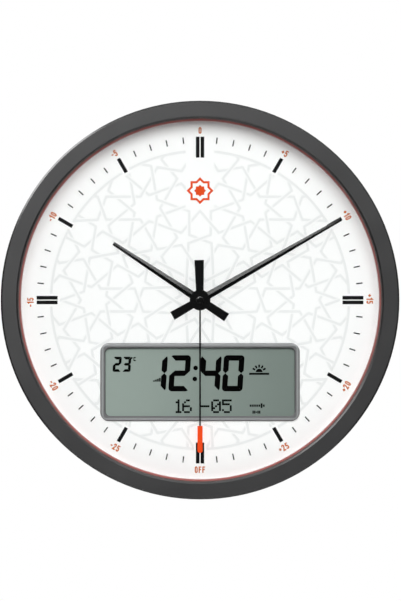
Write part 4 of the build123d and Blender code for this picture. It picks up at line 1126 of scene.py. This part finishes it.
class ClockFinishSettings(bpy.types.PropertyGroup):
    """Colours and gloss of the main finishes."""

    bezel_colour: colour("Bezel", "Dark plastic of the rim", tone(26, 26, 27))
    bezel_roughness: share("Bezel roughness", "Roughness of the rim", 0.33)
    accent_colour: colour("Accent", "Coral plastic between the dial and the lens", tone(150, 58, 50))
    # Painted shade under the bezel's lip, laid on the ring's front as a dark colour.
    accent_painted_shade: colour("Accent shade", "Dark print on the coral plastic under the lens", tone(60, 40, 38))
    dial_colour: colour("Dial", "White of the dial", tone(253, 253, 253))
    pattern_colour: colour("Pattern", "Pale grey of the dial's pattern", tone(238, 239, 239))
    mark_colour: colour("Marks", "Black of the bars and ticks", tone(14, 14, 15))
    orange: colour("Orange", "Orange paint of the index tip", tone(240, 70, 4))
    numeral_colour: colour("Numbers", "Deep orange of the numbers", tone(196, 98, 28))
    motif_colour: colour("Motif", "Orange of the motif", tone(226, 76, 26))
    hand_colour: colour("Hands", "Black paint of the hands", tone(7, 7, 8))
    sign_colour: colour("Signs", "Pale print of the signs on the back", tone(186, 187, 188))
    lens_tint: colour("Lens tint", "Faint tint of the glass", (0.992, 0.996, 0.994))
    lens_gloss: share("Lens gloss", "Reflection of each face of the coated glass", 0.012)
    # The pane's two ends hold painted light and painted shade: lighter at the left, darker at the right.
    panel_painted_lit_end: colour("Display, pale end", "Display pane towards the left", tone(145, 158, 151))
    panel_painted_shaded_end: colour("Display, deep end", "Display pane towards the right", tone(114, 126, 120))
    segment_colour: colour("Segments", "Lit segments of the display", tone(1, 1, 1))
    trim_colour: colour("Display frame", "Silver paint of the display's frame", tone(143, 144, 145))
    trim_roughness: share("Frame roughness", "Roughness of the display's frame", 0.35)
    trim_metal: share("Frame metal", "How metallic the display's frame looks", 0.2)


class ClockStageSettings(bpy.types.PropertyGroup):
    """Camera and light."""

    view_distance: length("View distance", "Distance of the camera from the wall plane", 8000)
    view_height: length("View height", "Height of the view at the front of the rim", 527.4)
    key_power: power("Key lamp", "Wide lamp in front and above, for matt surfaces alone", 66.5)
    fill_power: power("Fill lamp", "Wide lamp in front, for matt surfaces alone", 7.0)
    high_power: power("High lamp", "Wide lamp high in front, for the gloss of the hands' upper flanks", 66.0)
    gloss_power: power("Gloss lamp", "Lamp above and to the left, for glossy surfaces alone", 17.0)
    rim_power: power("Rim lamp", "Lamp beside the clock, for the gloss of the rim's outer edge alone", 24.0)
    surround: share("Surround", "Strength of the surroundings' white light from above", 0.6)
    surround_low: share("Surround below", "Strength of the surroundings' white light from below", 0.1)
    surround_front: share("Surround in front", "Share of that light that comes from the front", 0.5)
    room: share("Room", "Brightness of the room in front, as gloss shows it", 0.03)
    floor_radius: length("Floor radius", "Radius at which the floor has faded out", 420)
    floor_drop: length("Floor depth", "Distance of the floor below the clock's middle", 300)


# === Operators ===========================================================================================


class ClockOperator(bpy.types.Operator):
    """Shared settings of the clock's operators."""

    bl_options = {"REGISTER", "UNDO"}

    @property
    def dial(self):
        return bpy.context.scene.clock_dial

    @property
    def display(self):
        return bpy.context.scene.clock_display

    @property
    def finish(self):
        return bpy.context.scene.clock_finish


class ClockDresser(ClockOperator):
    """An operator that gives every node of the frame the finish of its slot."""

    def execute(self, context):
        finishes = self.finishes(self.finish)
        for part in frame["record"]["subparts"]:
            material = finishes.get(part["material_slot"])
            if material is not None:
                for place in frame["nodes"][part["node"]].material_slots:
                    place.material = material
        return {"FINISHED"}


class CLOCK_OT_print_pattern(ClockOperator):
    """Prints the interlaced star pattern and the ring round it in pale grey"""

    bl_idname = "clock.print_pattern"
    bl_label = "Star pattern"

    # In millimetres. The motif's bare place is given by its inner and outer radius and half its width.
    motif_place = (79.0, 133.0, 12.5)
    bars_end = 146.0
    frame_lap = 1.5

    def blanks(self):
        """Bare places: the display, the motif and round each hour bar."""
        dial = self.dial
        clear, half = dial.bar_clearance / MM, dial.bar_width / 2 / MM
        pair_half = half + dial.pair_pitch / 2 / MM
        frame_middle = (TRIM_LOW + TRIM_HIGH) / 2 / MM
        frame_half = (TRIM_HIGH - TRIM_LOW) / 2 / MM - Vector((self.frame_lap, 0, self.frame_lap))
        display = Slab(180, -frame_middle.z - frame_half.z, -frame_middle.z + frame_half.z, frame_half.x)
        areas = [display, Slab(0, *self.motif_place)]
        for hour in range(12):
            paired = hour % 3 == 0
            inner = (dial.pair_inner if paired else dial.bar_inner) / MM - clear
            areas.append(Slab(hour * 30, inner, self.bars_end, clear + (pair_half if paired else half)))
        return areas

    def execute(self, context):
        dial = self.dial
        sizes = [value / MM for value in (dial.tile_edge, dial.twelve_contact, dial.nine_contact)]
        angles = [math.degrees(value) for value in (dial.twelve_angle, dial.nine_angle, dial.edge_angle)]
        radius = dial.ring_radius / MM
        lines, stars = star_field(radius + 30, *sizes, *angles)
        cut = (dial.line_width / 2 + dial.line_gap) / MM
        runs = interlaced(lines, stars, cut)
        rear = DIAL_FACE + SUNK
        thickness = dial.pattern_height + SUNK
        material = ink("pattern ink", self.finish.pattern_colour)
        values = {"Line width": dial.line_width, "Thickness": thickness, "Material": material}
        runs = trimmed(runs, Disc(radius - dial.line_width / 2 / MM), self.blanks())
        ring = [[(radius * heading(step), heading(step)) for step in range(361)]]
        ring = trimmed(ring, Disc(radius + 1), self.blanks())
        tree = printed_bands()
        for name, part in (("star_pattern", runs), ("pattern_ring", ring)):
            points = strips_mesh(name + "_lines", part, rear)
            settle(Repeater.run(tree, name, values, points), "case")
        return {"FINISHED"}


class CLOCK_OT_print_marks(ClockOperator):
    """Prints the hour bars, the double bars at the quarters and the minute ticks"""

    bl_idname = "clock.print_marks"
    bl_label = "Bars and ticks"

    def execute(self, context):
        dial = self.dial
        tree = marks_on_a_ring()
        black = ink("mark ink", self.finish.mark_colour)
        values = {"Material": black, "Rear": DIAL_FACE + SUNK, "Front": DIAL_FACE - dial.ink_height}
        values["Outer radius"] = dial.bar_outer
        rows = {
            "minute_ticks": (60, 5, 1, dial.tick_inner, dial.tick_width, 0.0),
            "hour_bars": (12, 3, 1, dial.bar_inner, dial.bar_width, 0.0),
            "quarter_bars": (4, 0, 2, dial.pair_inner, dial.bar_width, dial.pair_pitch),
        }
        labels = ("Marks", "Left out", "Bars", "Inner radius", "Bar width", "Bar pitch")
        for name, row in rows.items():
            made = Repeater.run(tree, name, {**values, **dict(zip(labels, row))})
            settle(made, "case")
        return {"FINISHED"}


class CLOCK_OT_print_numerals(ClockOperator):
    """Prints the orange numbers of the minutes' scale round the edge"""

    bl_idname = "clock.print_numerals"
    bl_label = "Numbers"

    # How far each number stands clockwise of its hour, in millimetres.
    shifts = (0.0, -0.2, -0.3, -1.0, 1.7, 1.2, 0.1, 0.2, -0.4, -1.9, -1.6, -1.1)

    def execute(self, context):
        dial = self.dial
        words = ["0", "+5", "+10", "+15", "+20", "+25", "OFF", "-25", "-20", "-15", "-10", "-5"]
        sizes = (dial.numeral_width, dial.numeral_height, dial.numeral_gap, dial.numeral_stroke)
        sizes = [size / MM for size in sizes]
        runs = []
        for hour, (word, shift) in enumerate(zip(words, self.shifts)):
            turn = heading(hour * 30)
            upright = 1 if turn.real > -0.1 else -1
            centre = turn * complex(dial.numeral_radius / MM, shift)
            for run in written(word, *sizes):
                runs.append([(centre + point * turn * upright, way * turn) for point, way in run])
        orange = ink("number orange", self.finish.numeral_colour)
        rear = DIAL_FACE + SUNK
        values = {"Line width": dial.numeral_stroke, "Thickness": dial.ink_height + SUNK}
        made = Repeater.run(
            printed_bands(), "numerals", {**values, "Material": orange}, strips_mesh("strokes", runs, rear)
        )
        settle(made, "case")
        return {"FINISHED"}


class CLOCK_OT_print_motif(ClockOperator):
    """Prints a plain eight-pointed star in orange in the bare place above the middle"""

    bl_idname = "clock.print_motif"
    bl_label = "Motif"

    line_width = 1.9 * MM
    inner_share = 0.5  # Size of the filled star in the middle, as a share of the outer one.

    def execute(self, context):
        dial = self.dial
        radius, height = dial.motif_radius / MM, dial.motif_height / MM
        notch = radius * math.cos(math.radians(45)) / math.cos(math.radians(22.5))
        spokes = [heading(22.5 * step) for step in range(17)]
        reaches = [(radius, notch)[step % 2] for step in range(17)]
        outline = [(height + reach * way, way) for reach, way in zip(reaches, spokes)]
        rear = DIAL_FACE + SUNK
        orange = ink("motif orange", self.finish.motif_colour)
        values = {"Line width": self.line_width, "Thickness": dial.ink_height + SUNK, "Material": orange}
        lines = strips_mesh("motif_lines", [outline], rear)
        made = Repeater.run(printed_bands(), "star_motif", values, lines)
        settle(made, "case")
        rays = zip(reaches, spokes)
        inner = [(height + reach * way * self.inner_share) * MM for reach, way in rays][:0:-1]
        plates = Plates(rear, DIAL_FACE - dial.ink_height)
        plates.add([(point.imag, point.real) for point in inner])
        settle(plates.piece("star_motif_middle", orange), "case")
        return {"FINISHED"}


class CLOCK_OT_print_display(ClockOperator):
    """Sets the time, the temperature, the date and small pictograms on the liquid-crystal pane"""

    bl_idname = "clock.print_display"
    bl_label = "Display"

    # Places in millimetres. The large digits and the date's signs each share one level.
    large = {"1": -38.3, "2": -17.9, "4": 9.1, "0": 29.2}
    colon = ((-3.9, -59.7), (-4.6, -69.4))
    small = {"2": (-72.9, -56.5), "3": (-64.5, -56.5)}
    date = "16-05"
    date_columns = (-18.9, -11.5, 4.0, 14.1, 23.6)
    date_level = -93.4

    def digits(self, plates):
        display = self.display
        slant = math.tan(display.slant)
        size = (display.digit_width, display.digit_height, display.digit_stroke)
        for sign, x in self.large.items():
            write_segments(plates, sign, (x * MM, -display.digit_level), *size, 0.03 * MM, 3.2 * MM, slant)
        for x, z in self.colon:
            plates.add(disc((x * MM, z * MM), 2.05 * MM))
        size = (7.4 * MM, 13.3 * MM, 2.4 * MM)
        for sign, (x, z) in self.small.items():
            write_segments(plates, sign, (x * MM, z * MM), *size, 0.08 * MM, 1.5 * MM, slant)
        size = (2.8 * MM, 3.5 * MM, 1.05 * MM)
        write_segments(plates, "C", (-57.3 * MM, -51.9 * MM), *size, 0.03 * MM, 0.8 * MM)
        plates.add(disc((-60.1 * MM, -50.9 * MM), 0.85 * MM, 12))

    def pictograms(self, plates):
        """A low sun over a horizon, rising bars, a row of seven days and a short scale."""
        for step, tall in enumerate((1.2, 1.9, 2.6, 3.3)):
            spot = ((-40.6 + step * 1.75) * MM, (-71.8 + tall / 2) * MM)
            plates.add(block(spot, 1.4 * MM, tall * MM))
        sun = Vector((52.0, -63.4))
        plates.add(arc(sun.x * MM, sun.y * MM, 3.0 * MM, 0, 180, 12))
        plates.add(block((sun.x * MM, (sun.y - 1.5) * MM), 17.6 * MM, 1.7 * MM))
        for step in range(5):
            way = Vector((math.cos(math.radians(30 + 30 * step)), math.sin(math.radians(30 + 30 * step))))
            side = Vector((-way.y, way.x)) * 0.75
            near, far = sun + way * 4.0, sun + way * 6.6
            plates.add([tuple(p * MM) for p in (near - side, far - side, far + side, near + side)])
        for step in range(7):
            tall = 4.2 if step == 5 else 2.0
            plates.add(block(((44.5 + step * 1.93) * MM, -92.9 * MM), 1.5 * MM, tall * MM))
        for step in (0, 1, 3, 4):
            plates.add(block(((46.7 + step * 1.45) * MM, -98.6 * MM), 1.15 * MM, 2.6 * MM))
        plates.add(block((49.6 * MM, -98.6 * MM), 1.15 * MM, 1.2 * MM))

    def execute(self, context):
        display = self.display
        rear, front = PANEL_FACE + SUNK, PANEL_FACE - display.ink_height
        black = ink("segment black", self.finish.segment_colour, gloss=0.01)
        plates = Plates(rear, front)
        self.digits(plates)
        self.pictograms(plates)
        settle(plates.piece("display_segments", black), "case")
        spots = []
        for sign, column in zip(self.date, self.date_columns):
            for level, row in enumerate(DOT_ROWS[sign]):
                for place in range(5):
                    if row >> (4 - place) & 1:
                        x = column * MM + (place - 2) * display.dot_pitch
                        spots.append((x, self.date_level * MM + (3 - level) * display.dot_pitch))
        values = {"Dot size": display.dot_size, "Thickness": rear - front, "Material": black}
        points = points_mesh("date_points", spots, (rear + front) / 2)
        settle(Repeater.run(dots(), "display_date", values, points), "case")
        return {"FINISHED"}


class CLOCK_OT_mark_back(ClockOperator):
    """Prints the small signs on the back: plain shapes and arrows, ON and OFF"""

    bl_idname = "clock.mark_back"
    bl_label = "Signs on the back"

    level = 93.5  # Height of the row of signs over the buttons, in millimetres.

    def button_signs(self, plates):
        """Two triangles, a square, three lines and three rising bars, each over its button."""
        for x, turn in ((-32, 90), (-14, -90)):
            plates.add(arc(x * MM, self.level * MM, 2.1 * MM, turn, turn + 240, 2))
        plates.add(block((22 * MM, self.level * MM), 3.2 * MM, 3.2 * MM))
        for step in range(3):
            plates.add(block((-50 * MM, (self.level + 1.35 * (step - 1)) * MM), 3.6 * MM, 0.7 * MM))
        for step, tall in enumerate((1.4, 2.4, 3.4)):
            plates.add(block(((5.8 - step * 1.6) * MM, self.level * MM), 0.9 * MM, tall * MM))

    def turning_arrow(self, plates):
        """An arc with a head at each end, over the setting knob."""
        middle = (KNOB_LOW + KNOB_HIGH) / 2
        radius = (KNOB_HIGH.x - KNOB_LOW.x) / 2 + 3.2 * MM
        half = 0.45 * MM
        outer = arc(middle.x, middle.z, radius + half, 50, 130, 16)
        plates.add(outer + arc(middle.x, middle.z, radius - half, 130, 50, 16))
        for start, tip in ((50, 34), (130, 146)):
            head = [arc(middle.x, middle.z, radius + side * MM, start, tip, 1)[0] for side in (1.5, -1.5)]
            plates.add([*head, arc(middle.x, middle.z, radius, start, tip, 1)[1]])

    def execute(self, context):
        face = COVER_HIGH.y
        depths = (face - 0.02 * MM, face + 0.1 * MM)
        grey = ink("sign grey", self.finish.sign_colour, 0.5)
        plates = Plates(*depths)
        self.button_signs(plates)
        self.turning_arrow(plates)
        settle(plates.piece("button_signs", grey), "case")
        plates = Plates(*depths)
        plates.add(arc((COVER_LOW.x + COVER_HIGH.x) / 2, COVER_HIGH.z - 8 * MM, 2.6 * MM, 90, 330, 2))
        settle(plates.piece("cover_sign", grey), "battery_cover_body")
        words = (("OFF", 38.4), ("ON", 49.8))
        places = [(word, (x * MM, self.level * MM)) for word, x in words]
        meshes = [lettering(word, 2.9 * MM, 0.85, *depths, place, bold=0.02) for word, place in places]
        settle(joined("switch_signs", meshes, grey), "case")
        return {"FINISHED"}


class CLOCK_OT_dress_case(ClockDresser):
    """Finishes the rim, the accent ring, the front glass, the shell and their screws"""

    bl_idname = "clock.dress_case"
    bl_label = "Case"

    def finishes(self, finish):
        return {
            "bezel": bezel_plastic("bezel plastic", finish),
            "accent": tinted_plastic("coral plastic", finish),
            "lens": clear_pane("front glass", finish),
            "gasket": soft_rubber("gasket rubber", tone(40, 40, 41)),
            "shell": moulded_plastic("shell plastic", tone(62, 62, 64), 0.55, 0.5, 0.012),
            "white_plastic": moulded_plastic("white plastic", tone(236, 236, 232), 0.45),
            "screw": screw_steel("screw steel", tone(150, 150, 150)),
            "hanger": zinc_plate("zinc plate", tone(176, 178, 180)),
            "dial": dial_paper("dial white", finish),
        }


class CLOCK_OT_dress_hands(ClockDresser):
    """Paints the hands and the hub black, and the index's tip orange"""

    bl_idname = "clock.dress_hands"
    bl_label = "Hands"

    def finishes(self, finish):
        return {
            "hand": satin_paint("hand black", finish.hand_colour),
            "index_tip": satin_paint("tip orange", finish.orange, 0.5, 0.2, 0.12),
        }


class CLOCK_OT_dress_display(ClockDresser):
    """Finishes the display's frame, pane, reflector and contact strips"""

    bl_idname = "clock.dress_display"
    bl_label = "Display parts"

    def finishes(self, finish):
        return {
            "panel_trim": brushed_trim("frame silver", finish),
            "panel_glass": display_glass("display pane", finish),
            "reflector": rolled_metal("reflector foil", tone(190, 192, 190), 0.28),
            "conductive_rubber": striped_rubber("contact rubber", tone(60, 60, 62)),
        }


class CLOCK_OT_dress_movement(ClockDresser):
    """Finishes the movement's case, wheels, rotors, stators and coils"""

    bl_idname = "clock.dress_movement"
    bl_label = "Movement"

    def finishes(self, finish):
        return {
            "movement_case": moulded_plastic("movement plastic", tone(28, 28, 30), 0.4, 0.6, 0.01),
            "brass": rolled_metal("turned brass", tone(206, 170, 96), 0.26),
            "gear_plastic": moulded_plastic("wheel plastic", tone(232, 230, 220), 0.32, 0.4, 0.003),
            "rotor": ferrite("rotor magnet", tone(62, 58, 58)),
            "stator": rolled_metal("stator iron", tone(150, 150, 154), 0.4),
            "winding": wound_wire("copper winding", tone(190, 104, 62)),
        }


class CLOCK_OT_dress_electronics(ClockDresser):
    """Finishes the boards, their chips, the sensor, the switches and the buttons"""

    bl_idname = "clock.dress_electronics"
    bl_label = "Electronics"

    def finishes(self, finish):
        return {
            "board": circuit_board("circuit board", tone(20, 92, 60)),
            "chips": chip_resin("chip resin", tone(34, 34, 36)),
            "sensor": moulded_plastic("sensor resin", tone(22, 22, 24), 0.25, 0.8, 0.004),
            "knob": moulded_plastic("button plastic", tone(112, 113, 115), 0.42, 0.3, 0.008),
        }


class CLOCK_OT_dress_power(ClockDresser):
    """Finishes the cells, their contacts and springs, and the leads"""

    bl_idname = "clock.dress_power"
    bl_label = "Cells and leads"

    def finishes(self, finish):
        return {
            "cell": cell_wrap("cell wrap", tone(30, 32, 38)),
            "contact": rolled_metal("contact plate", tone(198, 196, 188), 0.24, (1, 1, 8)),
            "lead": wire_sleeve("lead sleeve", tone(176, 34, 30)),
        }


class CLOCK_OT_dress_speaker(ClockDresser):
    """Finishes the loudspeaker's basket, magnet and cone"""

    bl_idname = "clock.dress_speaker"
    bl_label = "Loudspeaker"

    def finishes(self, finish):
        return {
            "speaker_metal": zinc_plate("basket steel", tone(150, 150, 152)),
            "magnet": ferrite("magnet ferrite", tone(48, 47, 48)),
            "cone": paper_cone("cone paper", tone(44, 42, 40)),
        }


class CLOCK_OT_set_stage(ClockOperator):
    """Sets the camera in front of the clock, the soft lamps, the white surroundings and a pale floor"""

    bl_idname = "clock.set_stage"
    bl_label = "Stage"

    # Each lamp's place and size in metres, and whether it lights matt and glossy surfaces.
    lamps = {
        "key": ((0.1, -2.15, 1.3), (2.7, 1.5), True, False),
        "fill": ((0.3, -3.0, 0.4), (2.4, 2.4), True, False),
        "high": ((0.1, -1.6, 1.9), (2.6, 1.6), False, True),
        "gloss": ((-0.26, -1.5, 0.55), (0.4, 0.4), False, True),
        "rim": ((-1.3, -0.1, 1.2), (1.0, 1.0), False, True),
    }
    eye_offset = (0.41 * MM, -0.38 * MM)  # The camera's place beside the clock's axis.
    front_range = (-0.35, 0.05)  # Where the surroundings turn from behind the clock to in front of it.
    ceiling_range = (0.1, 0.8)  # Where the room turns from wall to ceiling.

    def lamp(self, name, place, size, energy, matt, gloss):
        """A wide lamp that faces the clock's middle and lights matt surfaces, glossy ones or both."""
        lamp = bpy.data.lights.new(name, "AREA")
        lamp.shape = "RECTANGLE"
        lamp.size, lamp.size_y = size
        lamp.energy = energy
        lit = bpy.data.objects.new(name, lamp)
        lit.location = place
        lit.rotation_euler = Vector(place).to_track_quat("Z", "Y").to_euler()
        lit.visible_diffuse, lit.visible_glossy = matt, gloss
        bpy.context.scene.collection.objects.link(lit)
        return lit

    def spare_hands(self, lamp):
        """The hands throw no shadow from a lamp, so that the dial stays even under them."""
        spared = bpy.data.collections.new("hands without shadow")
        for node in ("hour_hand", "minute_hand", "index_hand", "index_tip", "hub_cap"):
            spared.objects.link(frame["nodes"][node])
        for entry in spared.collection_objects:
            entry.light_linking.link_state = "EXCLUDE"
        lamp.light_linking.blocker_collection = spared

    def camera(self, stage):
        scene = bpy.context.scene
        camera = bpy.data.cameras.new("camera")
        camera.sensor_width = 36.0
        rim_distance = stage.view_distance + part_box("bezel_ring")[0].y
        camera.lens = camera.sensor_width * rim_distance / stage.view_height
        camera.clip_start, camera.clip_end = 0.05, 50.0
        eye = bpy.data.objects.new("camera", camera)
        eye.location = (self.eye_offset[0], -stage.view_distance, self.eye_offset[1])
        eye.rotation_euler = (QUARTER, 0, 0)
        scene.collection.objects.link(eye)
        scene.camera = eye

    def surroundings(self, stage):
        """White where it is seen directly, in glass and in gloss, and dimmer as a light.

        Gloss sees a darker room on the side that the dial faces, brighter towards the ceiling.
        """
        world = bpy.data.worlds.new("surroundings")
        world.use_nodes = True
        bpy.context.scene.world = world
        sheet = Sheet(world.node_tree)
        camera = sheet.node("ShaderNodeLightPath", output="Is Camera Ray")
        path = camera.socket.node.outputs
        gloss, glass, bounces = (
            Field(sheet, path[name]) for name in ("Is Glossy Ray", "Is Transmission Ray", "Diffuse Depth")
        )
        way = sheet.node("ShaderNodeTexCoord", output="Generated")
        ahead = sheet.node("ShaderNodeSeparateXYZ", inputs={0: way}, output=1) * -1
        above = Field(sheet, ahead.socket.node.inputs[0].links[0].from_node.outputs[2])
        low, high = self.front_range
        fronting = sheet.node("ShaderNodeMapRange", inputs={0: ahead, 1: low, 2: high})
        low, high = self.ceiling_range
        ceiling = sheet.node("ShaderNodeMapRange", inputs={0: above, 1: low, 2: high, 3: stage.room, 4: 1.0})
        room = 1 - fronting + fronting * ceiling
        direct = (bounces < 0.5) * sheet.math("MAXIMUM", sheet.math("MAXIMUM", camera, glass), gloss)
        shown = sheet.math("MAXIMUM", camera, sheet.math("MAXIMUM", glass * (1 - gloss), gloss * room))
        limits = {0: above, 1: -1.0, 2: 1.0, 3: stage.surround_low, 4: stage.surround}
        around = sheet.node("ShaderNodeMapRange", inputs=limits)
        around = around * (1 - fronting * (1 - stage.surround_front))
        strength = direct * shown + (1 - direct) * around
        light = sheet.node("ShaderNodeBackground", inputs={"Color": (1, 1, 1, 1), "Strength": strength})
        sheet.node("ShaderNodeOutputWorld", inputs={"Surface": light}, output=None)

    def floor(self, stage):
        """A pale disc that fades out at its edge."""
        radius, centre = stage.floor_radius, (0, -0.02, -stage.floor_drop)
        mesh = bpy.data.meshes.new("floor")
        whole = bmesh.new()
        bmesh.ops.create_circle(whole, cap_ends=True, segments=96, radius=radius)
        bmesh.ops.translate(whole, verts=whole.verts, vec=centre)
        whole.to_mesh(mesh)
        whole.free()
        finish = Finish("floor")
        spots = {0: finish.node("ShaderNodeTexCoord", output="Object"), 1: centre}
        away = finish.node("ShaderNodeVectorMath", {"operation": "DISTANCE"}, spots, "Value")
        pale = finish.mottled((0.86, 0.86, 0.86), finish.noise(120, 2), 0.01)
        paper = finish.node("ShaderNodeBsdfPrincipled", inputs={"Base Color": pale, "Roughness": 0.8})
        clear = finish.node("ShaderNodeBsdfTransparent")
        fade = finish.ramp(away, radius * 0.6, radius * 0.98)
        material = finish.end(finish.node("ShaderNodeMixShader", inputs={0: fade, 1: paper, 2: clear}))
        piece_from("floor", mesh, material)

    def execute(self, context):
        stage = bpy.context.scene.clock_stage
        bpy.context.scene.view_settings.view_transform = "Standard"
        self.camera(stage)
        for name, (place, size, matt, gloss) in self.lamps.items():
            lamp = self.lamp(name + " lamp", place, size, getattr(stage, name + "_power"), matt, gloss)
            if name == "key":
                self.spare_hands(lamp)
        self.surroundings(stage)
        self.floor(stage)
        return {"FINISHED"}


# === Add-on ==============================================================================================

SETTINGS = {
    "clock_dial": ClockDialSettings,
    "clock_display": ClockDisplaySettings,
    "clock_finish": ClockFinishSettings,
    "clock_stage": ClockStageSettings,
}
OPERATORS = (
    CLOCK_OT_dress_case,
    CLOCK_OT_dress_hands,
    CLOCK_OT_dress_display,
    CLOCK_OT_dress_movement,
    CLOCK_OT_dress_electronics,
    CLOCK_OT_dress_power,
    CLOCK_OT_dress_speaker,
    CLOCK_OT_print_pattern,
    CLOCK_OT_print_marks,
    CLOCK_OT_print_numerals,
    CLOCK_OT_print_motif,
    CLOCK_OT_print_display,
    CLOCK_OT_mark_back,
    CLOCK_OT_set_stage,
)


class CLOCK_PT_panel(bpy.types.Panel):
    """Lists the clock's operators and settings in the sidebar"""

    bl_idname = "CLOCK_PT_panel"
    bl_label = "Wall clock"
    bl_space_type = "VIEW_3D"
    bl_region_type = "UI"
    bl_category = "Clock"

    def draw(self, context):
        for operator in OPERATORS:
            self.layout.operator(operator.bl_idname)
        for name, group in SETTINGS.items():
            box = self.layout.box()
            settings = getattr(context.scene, name)
            for label in group.__annotations__:
                box.prop(settings, label)


def register():
    for group in (*SETTINGS.values(), *OPERATORS, CLOCK_PT_panel):
        bpy.utils.register_class(group)
    for name, group in SETTINGS.items():
        setattr(bpy.types.Scene, name, bpy.props.PointerProperty(type=group))


def unregister():
    for name in SETTINGS:
        delattr(bpy.types.Scene, name)
    for group in (CLOCK_PT_panel, *reversed(OPERATORS), *reversed(SETTINGS.values())):
        bpy.utils.unregister_class(group)


def main():
    register()
    for operator in OPERATORS:
        family, name = operator.bl_idname.split(".")
        getattr(getattr(bpy.ops, family), name)()


if __name__ == "__main__":
    main()
